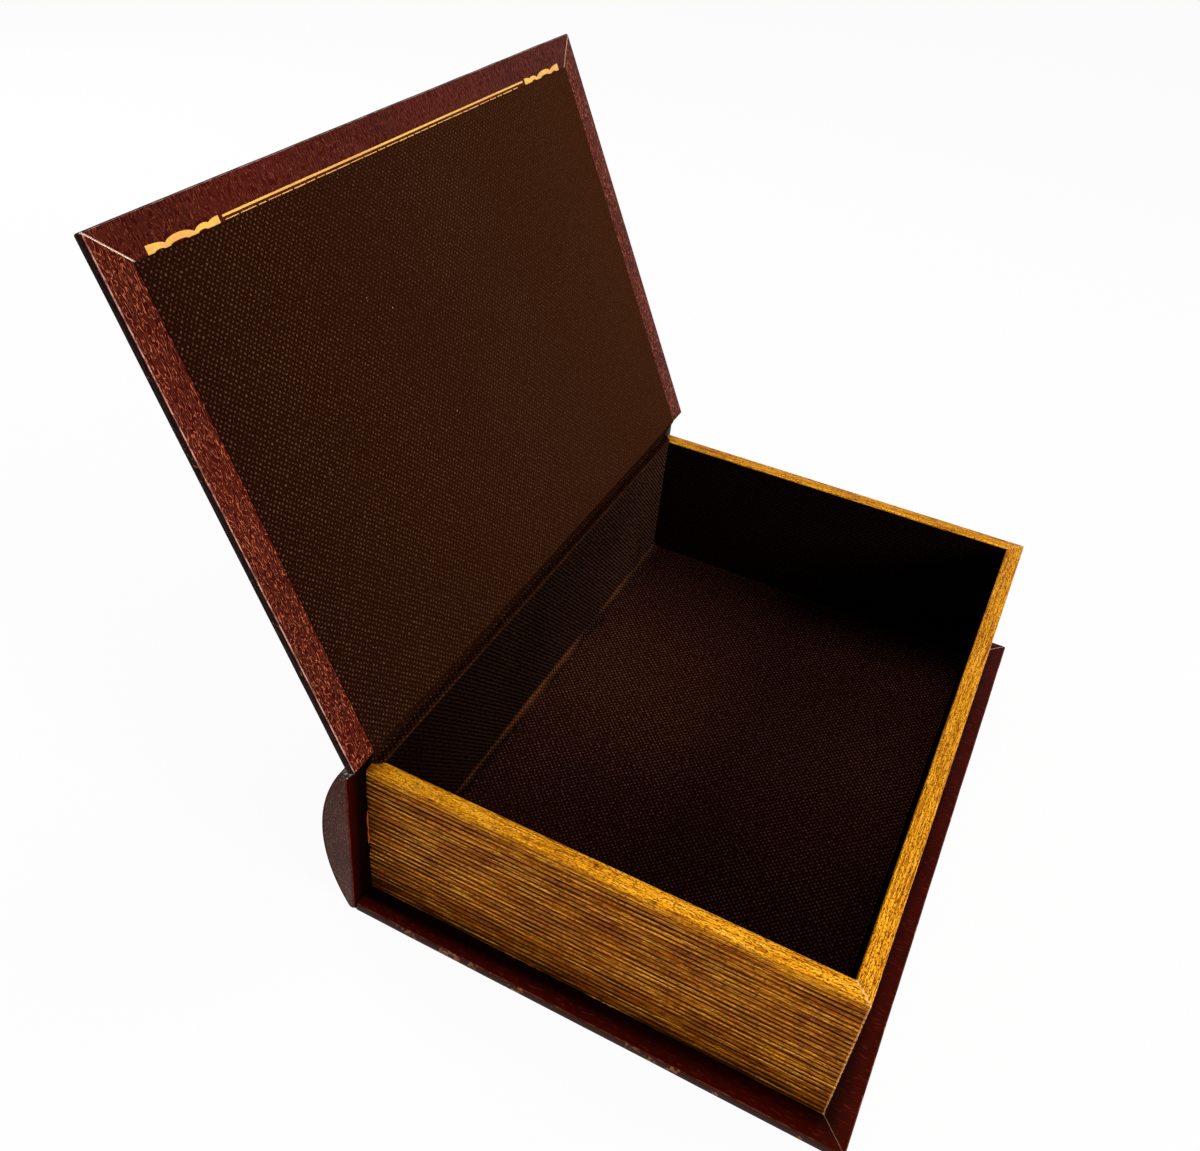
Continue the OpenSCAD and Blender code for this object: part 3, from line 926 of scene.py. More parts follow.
def highlight_strips(bm, cuts):
    """Gives the outside of the strips beside the mitres the second material, a painted highlight."""
    for face in bm.faces:
        centre = face.calc_center_median()
        beside = any(abs((centre - corner).dot(outwards)) < MITRE_LINE for corner, outwards in cuts)
        outside = centre.y < EASE or centre.z > wall_height - EASE / 2
        face.material_index = 1 if beside and outside and abs(face.normal.x) < 0.5 else 0


print("the walls' ends stand about", round(END_GAP / MM, 2), "mm off the spine")

# %% Make the three walls


def moulding(length, mitred, seed):
    """A wall along X from 0 to its length: outer face at Y 0, ends square or mitred as (start, end)."""
    bm = bmesh.new()
    groove = bm.verts.layers.float.new("groove")
    across = bm.verts.layers.float.new("across")
    ring = []
    run = 0.0
    for depth, height, held in moulding_section(seed):
        vert = bm.verts.new((0.0, depth, height))
        if ring:
            run += (vert.co - ring[-1].co).length
        vert[groove] = held
        vert[across] = run
        ring.append(vert)
    bm.faces.new(ring)
    pushed_out(bm, (length, 0.0, 0.0))
    cuts = [(ALONG_X * length * i, Vector((2 * i - 1, 1, 0)).normalized()) for i in (0, 1) if mitred[i]]
    for corner, outwards in cuts:
        mitre(bm, corner, outwards)
    score_rows(bm, ALONG_X, 0.0, length, 5 * MM)
    for near_end in (0.8, 2.0, 8.0):
        score(bm, ALONG_X * near_end * MM, ALONG_X)
    if not mitred[0]:
        shade_square_end(bm, groove, seed)
    waver_ribs(bm, groove, seed)
    bmesh.ops.recalc_face_normals(bm, faces=bm.faces[:])
    highlight_strips(bm, cuts)
    map_flat(bm, "run", lambda vert: (vert.co.x + seed * 0.37, vert[across] + seed * 0.11))
    return bm


def wall(name, length, mitred, seed, place, node):
    bm = moulding(length, mitred, seed)
    moved(bm, place)
    if place.determinant() < 0:
        bmesh.ops.reverse_faces(bm, faces=bm.faces[:])
    finished(name, bm, [ribbed_gold, mitre_highlight_gold], "box", [node])


quarter = Matrix.Rotation(math.pi / 2, 4, "Z")
tail_place = Matrix.Translation(tail_low)
head_place = Matrix.Translation((head_low.x, head_high.y, head_low.z)) @ Matrix.Scale(-1, 4, ALONG_Y)
fore_place = Matrix.Translation((tail_high.x, tail_low.y, tail_low.z)) @ quarter
wall("tail_moulding", box_width, (False, True), 1, tail_place, "tail_wall")
wall("head_moulding", box_width, (False, True), 2, head_place, "head_wall")
wall("fore_edge_moulding", box_length, (True, True), 3, fore_place, "fore_edge_wall")

# %% [markdown]
# ## Covers
# A cover is a board wrapped in leather: the hide lies on the outer face, goes
# round three edges and is turned in on the inner face. The turned-in strips are
# cut at 45 degrees where they meet, and the cut never quite closes, so a pale
# line of board shows. That line could be painted on a plain block. Modelling
# the hide as a real skin with the slit left open gives it for free, with the
# hide's own cut edges. The skin starts as a block with rounded edges. The back,
# the middle of the inner face and the slits are taken away, and what is left is
# thickened inwards.

# %% Helpers for skins


def wobble(point, size, seed):
    """A smooth random push that depends on the place alone."""
    return noise.noise_vector(point / size + Vector((seed * 7.31, seed * 3.17, seed * 5.71)))


def block_between(low, high):
    """A bmesh block from its lowest to its highest corner."""
    bm = bmesh.new()
    bmesh.ops.create_cube(bm, size=1.0)
    bmesh.ops.scale(bm, vec=high - low, verts=bm.verts)
    bmesh.ops.translate(bm, vec=(low + high) / 2, verts=bm.verts)
    return bm


def thickened(bm, thickness, rim_material=0):
    """Gives a skin its thickness, towards the inside, and its cut edges a material."""
    before = set(bm.verts)
    bmesh.ops.solidify(bm, geom=bm.faces[:], thickness=thickness)
    for face in bm.faces:
        if len({v in before for v in face.verts}) == 2:
            face.material_index = rim_material


def upper_faces(bm, thick):
    """The faces of a cover's inner side, which lies upwards while it is made."""
    return [f for f in bm.faces if f.calc_center_median().z > thick * 0.7]


def margins(reach, half, margin):
    """Planes (point, normal) that lie a margin inside the fore-edge and both ends."""
    return ((ALONG_X * (reach - margin), ALONG_X), (ALONG_Y * (half - margin), ALONG_Y),
            (ALONG_Y * (margin - half), ALONG_Y))


print("margins of 10 mm in a cover of 100 by 200:", [tuple(p) for p, _ in margins(100, 100, 10)])

# %% Cut the slits and the field
LIES_FLAT = 0.99


def open_slits(bm, width, half, thick, slit):
    """Opens the slits at 45 degrees where the turned-in strips meet."""
    for sign in (1, -1):
        corner = Vector((width, sign * half, thick))
        across = Vector((1.0, -sign, 0.0)).normalized()
        for shift in (-0.5, 0.5):
            score(bm, corner + across * shift * slit, across, upper_faces(bm, thick))
        inside = [f for f in upper_faces(bm, thick) if f.calc_center_median().x > width / 2
                  and abs((f.calc_center_median() - corner).dot(across)) < slit / 2]
        bmesh.ops.delete(bm, geom=inside, context="FACES")


def open_field(bm, width, half, thick, turn_in):
    """Takes away the middle of the inner side, where no leather is turned in."""
    for point, normal in margins(width, half, turn_in):
        score(bm, point, normal, [f for f in upper_faces(bm, thick) if f.normal.z > LIES_FLAT])
    field = [f for f in upper_faces(bm, thick) if f.normal.z > LIES_FLAT
             and f.calc_center_median().x < width - turn_in
             and abs(f.calc_center_median().y) < half - turn_in]
    bmesh.ops.delete(bm, geom=field, context="FACES")


print("a face lies flat up to", round(math.degrees(math.acos(LIES_FLAT)), 1), "degrees")

# %% The skin of a cover
EDGE_ROUND = 0.65 * MM
EDGE_FADE = 2.2 * MM
FOOT_STRIP = 9.35 * MM
RIM_DENT = 0.16 * MM


def dent_rim(bm, width, half, seed):
    """Pushes the rim inwards here and there, so that its outline isn't ruled."""
    for vert in bm.verts:
        if max(vert.co.x - width, abs(vert.co.y) - half) > -0.7 * EDGE_ROUND:
            push = wobble(vert.co, 22 * MM, seed) * RIM_DENT
            vert.co += Vector((-abs(push.x), -math.copysign(abs(push.y), vert.co.y), 0.0))


def mark_cover(bm, width, half, thick, has_foot):
    """Keeps what the leather reads: its rim, rubbed and with a painted highlight, its turned-in ends, and the
    painted shade at the walls' foot.
    """

    def edge(co):
        at_end, at_fore = 1.0 + (abs(co.y) - half) / EDGE_FADE, 1.0 + (co.x - width) / EDGE_FADE
        if at_fore > at_end:
            at_fore = 1.0 if co.x - width > -0.6 * EDGE_ROUND else min(0.7, at_fore)
        return max(0.0, at_end, at_fore)

    def turned_in(co):
        on_fore = co.x - width > abs(co.y) - half
        return 0.0 if on_fore else min(1.0, co.z / thick)

    # Painted shade: the strip beside the walls' feet, strongest towards the spine.
    def foot(co):
        reach = max(co.x - width, abs(co.y) - half)
        return min(1.0, -reach / FOOT_STRIP * (1.65 - 0.7 * co.x / width)) if co.z > thick * 0.9 else 0.0

    mark(bm, "edge", edge)
    mark(bm, "turned_in", turned_in)
    if has_foot:
        mark(bm, "foot", foot)


def cover_skin(width, length, thick, turn_in, seed, slit, joint_lip=0.0):
    """Turned-in face up: X from the back edge at 0 to the fore-edge, Y along the spine, centred."""
    half = length / 2
    bm = block_between(Vector((0.0, -half, 0.0)), Vector((width, half, thick)))
    eased(bm, [e for e in bm.edges if max(v.co.x for v in e.verts) > width / 2], EDGE_ROUND, 4)
    back_faces = [f for f in bm.faces if f.calc_center_median().x < EDGE_ROUND / 10]
    bmesh.ops.delete(bm, geom=back_faces, context="FACES")
    open_slits(bm, width, half, thick, slit)
    open_field(bm, width, half, thick, turn_in)
    if joint_lip:
        lip = [e for e in bm.edges if e.is_boundary and all(max(v.co.x, v.co.z) < MM / 10 for v in e.verts)]
        pushed_out(bm, (-joint_lip, 0.0, 0.0), lip)
    score_rows(bm, ALONG_X, 0.0, width, 6 * MM)
    score_rows(bm, ALONG_Y, -half, half, 6 * MM)
    dent_rim(bm, width, half, seed)
    bmesh.ops.recalc_face_normals(bm, faces=bm.faces[:])
    if sum(f.normal.z * f.calc_area() for f in bm.faces if f.calc_center_median().z < thick * 0.2) > 0:
        bmesh.ops.reverse_faces(bm, faces=bm.faces[:])
    mark_cover(bm, width, half, thick, bool(joint_lip))
    thickened(bm, skin, rim_material=1)
    return bm


print("the covers' edges are rounded by", round(EDGE_ROUND / MM, 2), "mm")

# %% Cover the lid and the base
LID_TURN_IN, LID_SLIT = 15.1 * MM, 0.46 * MM
BASE_TURN_IN, BASE_SLIT = 13.85 * MM, 0.22 * MM

lid_size = lid_high - lid_low
lid_skin = cover_skin(lid_size.x, lid_size.y, lid_size.z, LID_TURN_IN, 1, LID_SLIT)
turned_over = Matrix.Translation((lid_low.x, 0.0, lid_high.z)) @ Matrix.Scale(-1, 4, (0, 0, 1))
moved(lid_skin, laid_back @ turned_over)
bmesh.ops.reverse_faces(lid_skin, faces=lid_skin.faces[:])
finished("lid_cover_leather", lid_skin, [lid_leather, cut_hide], "lid", ["lid_leather"])

base_width = board_high.x + skin - board_low.x
base_skin = cover_skin(base_width, base_high.y - base_low.y, base_high.z - base_low.z, BASE_TURN_IN, 2,
                       BASE_SLIT, joint_lip=board_low.x - base_low.x)
moved(base_skin, Matrix.Translation((board_low.x, 0.0, base_low.z)))
finished("base_cover_leather", base_skin, [base_leather, cut_hide], "box", ["base_leather"])

# %% [markdown]
# ## Lining
# The cloth is pasted down, so a simulation would only bring it back to where it
# started. Each piece is a thin strip instead, whose section is drawn once and
# pushed out along the box. It is cut across every few millimetres, so that its
# surface can drift a little and its upper edge can wander, as cloth that was
# cut and pasted by hand does. The distance along the section is kept at each
# point and becomes the second number of the flat map, so the rows of dots run
# on from piece to piece.

# %% A strip of cloth
CLOTH_STEP = 4 * MM
EDGE_WANDER = 0.35 * MM
FACE_DRIFT = 0.1 * MM


def divided(points, step):
    """The same line with extra points, none further apart than the step."""
    result = [points[0]]
    for a, b in zip(points, points[1:]):
        count = max(1, math.ceil(math.dist(a, b) / step))
        result += [(a[0] + (b[0] - a[0]) * i / count, a[1] + (b[1] - a[1]) * i / count)
                   for i in range(1, count + 1)]
    return result


def strip(section, half, step, start_run=0.0):
    """A thin surface with a section in X and Z, from -half to half along Y."""
    bm = bmesh.new()
    run = bm.verts.layers.float.new("run")
    verts = []
    total = start_run
    for x, z in section:
        vert = bm.verts.new((x, -half, z))
        if verts:
            total += (vert.co - verts[-1].co).length
        vert[run] = total
        verts.append(vert)
    pushed_out(bm, (0.0, 2 * half, 0.0), [bm.edges.new(pair) for pair in zip(verts, verts[1:])])
    score_rows(bm, ALONG_Y, -half, half, step)
    return bm


def face_towards(bm, direction):
    """Turns all faces over if most of them look away from a direction."""
    bm.normal_update()
    if sum(f.normal.dot(direction) * f.calc_area() for f in bm.faces) < 0:
        bmesh.ops.reverse_faces(bm, faces=bm.faces[:])


def map_cloth(bm):
    """The cloth's flat map in metres: along the piece, and along its section."""
    run = bm.verts.layers.float["run"]
    map_flat(bm, "cloth", lambda vert: (vert.co.y, vert[run]))


def drift_face(bm, seed, size=28 * MM, amount=FACE_DRIFT):
    """Moves the surface a little back off its plane, never in front of it."""
    bm.normal_update()
    offset = Vector((seed, 0.0, 0.0))
    moves = [(v, v.normal * amount * abs(noise.noise(v.co / size + offset))) for v in bm.verts]
    for vert, move in moves:
        vert.co -= move


print("cloth", round(cloth / MM, 2), "mm thick, cut across every", round(CLOTH_STEP / MM), "mm")

# %% Line the three ribbed walls


def wall_lining(name, node, length, place, seed):
    """Lining on one wall. It is drawn along Y with the wall at X 0 and the box inside on the +X side."""
    low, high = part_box(node)
    top = high.z
    bm = strip(divided([(cloth, top), (cloth, low.z)], 6 * MM), length / 2, CLOTH_STEP, start_run=-top)
    face_towards(bm, ALONG_X)
    for vert in bm.verts:
        if vert.co.z > top - MM / 10:
            wander = ripple(vert.co.y / (9 * MM), seed) + 0.5 * ripple(vert.co.y / (2.5 * MM), seed, 3.0)
            vert.co.z -= EDGE_WANDER * min(1.0, abs(wander))
    drift_face(bm, seed)
    map_cloth(bm)
    thickened(bm, cloth - FACE_DRIFT)
    moved(bm, place)
    finished(name, bm, [wall_cloth_painted_shade], "box", [node])


end_low, end_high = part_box("tail_lining")
span = end_high.x - end_low.x
middle = (end_high.x + end_low.x) / 2
on_tail = Matrix.Translation((middle, tail_high.y, 0)) @ quarter
on_head = Matrix.Translation((middle, head_low.y, 0)) @ quarter.inverted()
on_fore = Matrix.Translation((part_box("fore_lining")[1].x, 0, 0)) @ Matrix.Rotation(math.pi, 4, "Z")
wall_lining("tail_lining_cloth", "tail_lining", span, on_tail, 3.0)
wall_lining("head_lining_cloth", "head_lining", span, on_head, 4.0)
wall_lining("fore_lining_cloth", "fore_lining", inside_length - 2 * cloth, on_fore, 5.0)

# %% [markdown]
# One length of cloth comes down the spine wall and turns onto the floor in a
# soft curve. The two could be flat strips that meet at an angle, but glue and
# paste leave a round fold in such a corner. Along that curve a painted sheen
# lies in patches, and on the spine wall the dots get painted light that grows
# towards the head. On the floor a pool of painted light, on the dots and as a
# faint sheen, lies a little past the middle. All are numbers at the points,
# worked out from where each point lies.

# %% Line the spine wall and the floor
LID_STRIP = 9.0 * MM
spine_lining_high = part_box("spine_lining")[1]
wall_top = spine_lining_high.z
cloth_face = post_high.x + cloth
floor_face = floor_high.z
fillet = floor_low.x - cloth_face
curve_centre = (floor_low.x, floor_face + fillet)
half_inside = inside_length / 2


def line_spine_wall():
    upright = divided([(cloth_face, wall_top), (cloth_face, curve_centre[1])], 5 * MM)
    section = upright + arc(curve_centre, fillet, 180, 270, 8)[1:]
    bm = strip(section, half_inside - cloth, CLOTH_STEP, start_run=LID_STRIP)
    face_towards(bm, Vector((1, 0, 0.5)))
    drift_face(bm, 6.0)
    map_cloth(bm)

    # Painted sheen in patches along the curve down to the floor.
    def painted_lighting(co):
        low_down = (curve_centre[1] - co.z) / fillet
        uneven = 0.55 + 0.9 * ripple(co.y / (30 * MM), 4.0) - abs(co.y) / (300 * MM)
        return max(0.0, uneven - 1.2 * abs(low_down - 0.6))

    mark(bm, "painted_lighting", painted_lighting)
    # Painted light on the dots, growing from the tail to the head.
    mark(bm, "painted_dot_light", lambda co: 1.1 * (co.y / inside_length + 0.5) ** 1.5)
    thickened(bm, cloth - FACE_DRIFT)
    finished("spine_lining_cloth", bm, [wall_cloth_painted_shade], "box", ["spine_lining"])


def line_floor():
    down = wall_top - curve_centre[1] + fillet * math.pi / 2
    section = divided([(floor_low.x, floor_face), (floor_high.x, floor_face)], 6 * MM)
    bm = strip(section, half_inside - cloth, CLOTH_STEP, start_run=LID_STRIP + down)
    face_towards(bm, Vector((0, 0, 1)))
    drift_face(bm, 7.0)
    map_cloth(bm)

    # A pool of painted light on the floor's dots, with a faint painted sheen, a little past the middle.
    def lit(co):
        return math.exp(-((co.y / inside_length - 0.1) / 0.25) ** 2)

    mark(bm, "painted_lighting", lambda co: 0.2 * lit(co))
    mark(bm, "painted_dot_light", lambda co: 1.2 * lit(co))
    thickened(bm, cloth - FACE_DRIFT)
    finished("floor_lining_cloth", bm, [floor_cloth_painted_shade], "box", ["floor_lining"])


line_spine_wall()
line_floor()

# %% [markdown]
# The lid's cloth laps over the turned-in leather and drops by the leather's
# thickness inside it, so a low step shows as a soft line near its edge. A bump
# line would vanish at a low angle, so the step is in the mesh. It is made with
# the lid shut, lying on its back, and laid back with the lid. Towards the head
# its dots are painted fainter and a painted sheen grows on them.

# %% Line the lid
STEP_IN = 0.22 * MM
STEP_WIDTH = 1.2 * MM
TURN_IN_LAP = 3.5 * MM


def line_lid():
    half = (cloth_high.y - cloth_low.y) / 2
    section = divided([(cloth_low.x, cloth_low.z), (cloth_high.x, cloth_low.z)], 4 * MM)
    bm = strip(section, half, CLOTH_STEP)
    for point, normal in margins(cloth_high.x, half, TURN_IN_LAP):
        score(bm, point, normal)
        score(bm, point - normal * math.copysign(STEP_WIDTH, point.x + point.y), normal)
    face_towards(bm, Vector((0, 0, -1)))
    run = bm.verts.layers.float["run"]
    for vert in bm.verts:
        vert[run] = -(vert.co.x - cloth_low.x)
        inside = min(cloth_high.x - vert.co.x, half - abs(vert.co.y)) - TURN_IN_LAP
        share = min(1.0, max(0.0, inside / STEP_WIDTH))
        vert.co.z += STEP_IN * share * share * (3 - 2 * share)
    drift_face(bm, 8.0, 40 * MM, 0.06 * MM)
    map_cloth(bm)

    # Painted light: towards the head the dots fade and a painted sheen grows.
    def to_head(co):
        return (co.y + half) / (2 * half)

    mark(bm, "painted_lighting", lambda co: 0.5 * to_head(co))
    mark(bm, "painted_dot_light", lambda co: 0.3 - 0.8 * to_head(co))
    thickened(bm, cloth * 0.8)
    moved(bm, laid_back)
    finished("lid_lining_cloth", bm, [lining_cloth], "lid", ["lid_lining"])


line_lid()

# %% [markdown]
# ## The joint
# Leather outside and cloth inside are all that join the lid to the box. A stiff
# piece would tear away from one of them as the lid turns. So both are soft
# strips that are blended: their points follow the box near the spine, the lid
# near its edge, and turn smoothly between. The cloth goes down from the lid to
# the back of the spine wall's top, lies on that top, and turns down inside. Its
# two ends are cut slanting, and their tabs are pasted on the tops of the end
# walls.

# %% Curves and tabs
TAIL_TAB = [(0.0, 3.03), (1.7, 3.24), (4.7, 5.85)]
HEAD_TAB = [(0.0, 0.4), (1.9, 3.0), (4.6, 5.9)]


def off(x, z, *steps):
    """Points that lie so many millimetres off one place, in X and Z."""
    return [(x + right * MM, z + up_by * MM) for right, up_by in steps]


def curve_through(points, steps):
    """A smooth line through a few points, by a Bezier curve over each gap."""
    line = [Vector((*p, 0.0)) for p in points]
    result = [line[0]]
    for i in range(len(line) - 1):
        before = line[max(i - 1, 0)]
        after = line[min(i + 2, len(line) - 1)]
        first = line[i] + (line[i + 1] - before) / 6
        second = line[i + 1] - (after - line[i]) / 6
        result += geometry.interpolate_bezier(line[i], first, second, line[i + 1], steps + 1)[1:]
    return [(p.x, p.y) for p in result]


def tab_width(outline, x):
    """How far in from an end wall's outer face the tab's edge lies, at a distance from the spine."""
    for (start, low), (end, high) in zip(outline, outline[1:]):
        if x <= end:
            return low + (high - low) * max(0.0, x - start) / (end - start)
    return outline[-1][1]


print("the tail's tab, 3 mm from the spine, ends", round(tab_width(TAIL_TAB, 3.0), 2), "mm in")

# %% Cloth over the joint
PASTED_BELOW = 1.2 * MM
crest_low, crest_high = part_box("hinge_lining")
lining_edge = laid_back @ Vector((cloth_low.x, 0.0, cloth_low.z))


def cut_tabs(bm, half):
    """Draws the ends in to the tabs' outlines, pastes them down, and lets the free cloth wave."""
    for vert in bm.verts:
        above = (vert.co.z - wall_top - PASTED_BELOW) / (lining_edge.z - wall_top - PASTED_BELOW)
        free = math.sin(math.pi * min(1.0, max(0.0, above)))
        wave = ripple(vert.co.y / (12 * MM), vert.co.z / (4 * MM), 9.0)
        outline = TAIL_TAB if vert.co.y < 0 else HEAD_TAB
        tab = box_length / 2 - tab_width(outline, (vert.co.x - post_low.x) / MM) * MM
        reach = tab + (half - tab) * max(0.0, above)
        beyond = (abs(vert.co.y) - half_inside) / (half - half_inside)
        if beyond > 0:
            vert.co.y = math.copysign(half_inside + (reach - half_inside) * beyond, vert.co.y)
            if above < 0:
                vert.co.z = min(vert.co.z, wall_top + cloth * 1.2)
        vert.co.x += 0.16 * MM * free * wave


def joint_cloth():
    from_lid = off(lining_edge.x, lining_edge.z, (0, 0), (-0.7, -1.9))
    over_wall = off(post_low.x, wall_top, (1.3, 3.6), (0.6, 1.5), (1.0, 0.6), (2.4, 0.6), (3.4, 0.75))
    section = curve_through(from_lid + over_wall + off(cloth_face, wall_top, (-0.1, 0.45), (0, -0.1)), 4)
    length = sum(math.dist(a, b) for a, b in zip(section, section[1:]))
    half = (crest_high.y - crest_low.y) / 2
    bm = strip(section, half, 2.5 * MM, start_run=LID_STRIP - length)
    for sign in (-1, 1):
        score(bm, ALONG_Y * sign * half_inside, ALONG_Y)
    face_towards(bm, ALONG_X)
    cut_tabs(bm, half)
    map_cloth(bm)

    # Painted highlight along the ridge where the cloth turns down into the box.
    def painted_lighting(co):
        from_ridge = abs(co.x - cloth_face + 0.15 * MM) / (0.7 * MM)
        uneven = 0.7 + 0.8 * ripple(co.y / (6 * MM), 2.0)
        return 0.35 * max(0.0, 1.0 - from_ridge) * uneven if co.z < wall_top + PASTED_BELOW else 0.0

    mark(bm, "painted_lighting", painted_lighting)
    thickened(bm, cloth * 0.8)
    return bm


def make_joint_cloth():
    bm = joint_cloth()
    piece = finished("joint_lining_cloth", bm, [lining_cloth], None, ["hinge_lining"])
    free_from = (post_low.x + 0.8 * MM, 0.0, wall_top + 1.3 * MM)
    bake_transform(piece, "box", "lid", start=free_from, end=tuple(lining_edge))


make_joint_cloth()

# %% [markdown]
# ## Spine
# The spine is a solid half-round bar covered in leather. A cylinder cut in half
# would be too round: the real section is a flat face towards the box, a shallow
# back and two small rounded edges, so it is drawn with three arcs. The
# leather's two ends are rounded over with a bevel, and the leather caps that
# close them stand a hair inside, which leaves the fine dark line of a pasted
# seam.

# %% Section of the spine
SPINE_EDGE = 1.5 * MM
BACK_STEPS = 28
EDGE_STEPS = 6
spine_bulge = post_low.x - spine_low.x
spine_middle = (spine_high.z + spine_low.z) / 2
edge_height = (spine_high.z - spine_low.z) / 2 - SPINE_EDGE
spine_radius = (edge_height ** 2 / (spine_bulge - 2 * SPINE_EDGE) + spine_bulge) / 2
lean = math.degrees(math.atan2(edge_height, -(spine_radius - spine_bulge + SPINE_EDGE)))


def spine_section(inset):
    """Points of the section, anticlockwise from the foot of the flat face."""
    centre = (post_low.x + spine_radius - spine_bulge, spine_middle)
    upper = (post_low.x - SPINE_EDGE, spine_middle + edge_height)
    lower = (post_low.x - SPINE_EDGE, spine_middle - edge_height)
    flat = divided([(post_low.x - inset, lower[1]), (post_low.x - inset, upper[1])], 8 * MM)
    return (flat + arc(upper, SPINE_EDGE - inset, 0, lean, EDGE_STEPS)[1:]
            + arc(centre, spine_radius - inset, lean, 360 - lean, BACK_STEPS)[1:]
            + arc(lower, SPINE_EDGE - inset, -lean, 0, EDGE_STEPS)[1:-1])


def bar(outline, start, length):
    """A solid bar with an outline in X and Z, from its start along Y."""
    bm = bmesh.new()
    bm.faces.new([bm.verts.new((x, start, z)) for x, z in outline])
    pushed_out(bm, (0.0, length, 0.0))
    bmesh.ops.recalc_face_normals(bm, faces=bm.faces[:])
    return bm


def spine_bar(start, end, inset, round_ends):
    """A solid bar with the spine's section from start to end along Y, with rounded ends."""
    bm = bar(spine_section(inset), start, end - start)
    eased(bm, [e for e in bm.edges if len({round(v.co.y, 6) for v in e.verts}) == 1], round_ends, 3)
    return bm


print("the spine's back has a radius of", round(spine_radius / MM, 1), "mm")

# %% Cover the spine
END_ROUND = 0.5 * MM
SEAM = 0.02 * MM
DOME = 0.12 * MM
CAP_ROUND, CAP_RIM = 0.08 * MM, 0.5 * MM


def cover_spine():
    """The leather round the bar, open at both ends. Its flat face has the second material."""
    bm = spine_bar(spine_low.y, spine_high.y, 0.0, END_ROUND)
    ends = [f for f in bm.faces if abs(f.normal.y) > LIES_FLAT and len(f.verts) > 8]
    bmesh.ops.delete(bm, geom=ends, context="FACES")
    score_rows(bm, ALONG_Y, spine_low.y, spine_high.y, 6 * MM)
    for sign in (-1, 1):
        score(bm, ALONG_Y * sign * box_length / 2, ALONG_Y)
    for vert in bm.verts:
        on_back = vert.co.x < post_low.x - 2 * SPINE_EDGE
        if on_back and spine_low.y + END_ROUND < vert.co.y < spine_high.y - END_ROUND:
            push = wobble(vert.co, 26 * MM, 11) * 0.14 * MM
            vert.co.x += abs(push.x)

    def edge(co):
        reach = max(spine_low.y - co.y, co.y - spine_high.y)
        return max(0.0, 0.84 * (1.0 + reach / EDGE_FADE))

    # Painted shade on the spine's flat face: dark along the box, fading past the end walls, darker lower down.
    def foot(co):
        if co.x <= post_low.x - END_ROUND:
            return 0.0
        beyond_wall = (abs(co.y) - box_length / 2) / FOOT_STRIP
        below = (spine_high.z - co.z) / (spine_high.z - spine_low.z)
        return min(1.0, max(0.0, 1.25 - 1.15 * beyond_wall + 0.25 * below))

    mark(bm, "edge", edge)
    mark(bm, "foot", foot)
    for face in bm.faces:
        face.material_index = 1 if face.calc_center_median().x > post_low.x - END_ROUND * 0.6 else 0
    thickened(bm, skin)
    return bm


def spine_cap(low, high, outwards):
    """The leather that closes one end of the spine, slightly domed."""
    face = low if outwards < 0 else high
    sunk = face - outwards * DOME
    hidden = face - outwards * (high - low)
    bm = spine_bar(min(sunk, hidden), max(sunk, hidden), END_ROUND + SEAM, CAP_ROUND)
    flat = [f for f in bm.faces if f.normal.y * outwards > LIES_FLAT and len(f.verts) > 8]
    bmesh.ops.inset_region(bm, faces=flat, thickness=CAP_RIM, depth=DOME)
    return bm


hides = [spine_leather, flat_leather_painted_shade]
finished("spine_cover_leather", cover_spine(), hides, "box", ["spine_leather"])
for name, node, outwards in (("tail_cap_leather", "tail_cap", -1), ("head_cap_leather", "head_cap", 1)):
    cap_low, cap_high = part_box(node)
    finished(name, spine_cap(cap_low.y, cap_high.y, outwards), [cap_leather_painted_reflection], "box", [node])

# %% [markdown]
# The joint's leather starts at the lid's outer skin and ends on the round top
# of the spine. With the lid laid back it bulges a little. At its two ends it is
# turned in like the rest of the cover: a second layer comes down from the lid's
# inner face onto the spine's flat face, and the leather bunches up between the
# two. Two thin layers would leave a hollow that is never seen. So each end is a
# solid wedge, with the bunched leather at its end.

# %% Folds of the joint
TURNED_END = 11.0 * MM
skin_middle = laid_back @ Vector((lid_low.x, 0.0, lid_high.z - skin / 2))
lid_inner = laid_back @ Vector((lid_low.x, 0.0, lid_low.z))
joint_low, joint_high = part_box("hinge_leather")
shoulder = spine_middle + edge_height
outer_fold = (off(skin_middle.x, skin_middle.z, (0, 0)) + off(post_low.x, skin_middle.z, (-0.45, -0.12))
              + off(post_low.x, spine_high.z, (-1.2, 0.6), (-1.95, -0.08)))
inside_spine = off(post_low.x, shoulder, (-1.4, -0.2), (-0.8, -0.5))
inner_fold = (off(lid_inner.x, lid_inner.z, (0, 0), (-0.85, -1.35))
              + off(post_low.x, shoulder, (1.25, 1.7), (0.65, 0.75), (0.45, 0.15), (0.38, -0.15),
                    (0.1, -0.3), (-0.3, -0.3)))


def map_leather(bm):
    """Flat map of a joint piece, skewed so that its end faces get a pattern too."""
    map_flat(bm, "along", lambda vert: (vert.co.z + vert.co.x, vert.co.y + (vert.co.x - vert.co.z) / 2))


def single_leather():
    """The middle stretch, one layer thick."""
    low, high = joint_low.y + TURNED_END, joint_high.y - TURNED_END
    bm = strip(curve_through(outer_fold, 5), (high - low) / 2, 4 * MM)
    bmesh.ops.translate(bm, vec=(0.0, (high + low) / 2, 0.0), verts=bm.verts)
    face_towards(bm, -ALONG_X)
    map_leather(bm)
    thickened(bm, skin * 0.9)
    return bm


print("joint leather", round((joint_high.y - joint_low.y) / MM, 1), "mm long")

# %% Bunched ends
BUNCH = 0.45 * MM
BUNCH_REACH = 7 * MM
BUNCH_DEPTH = 1.2 * MM


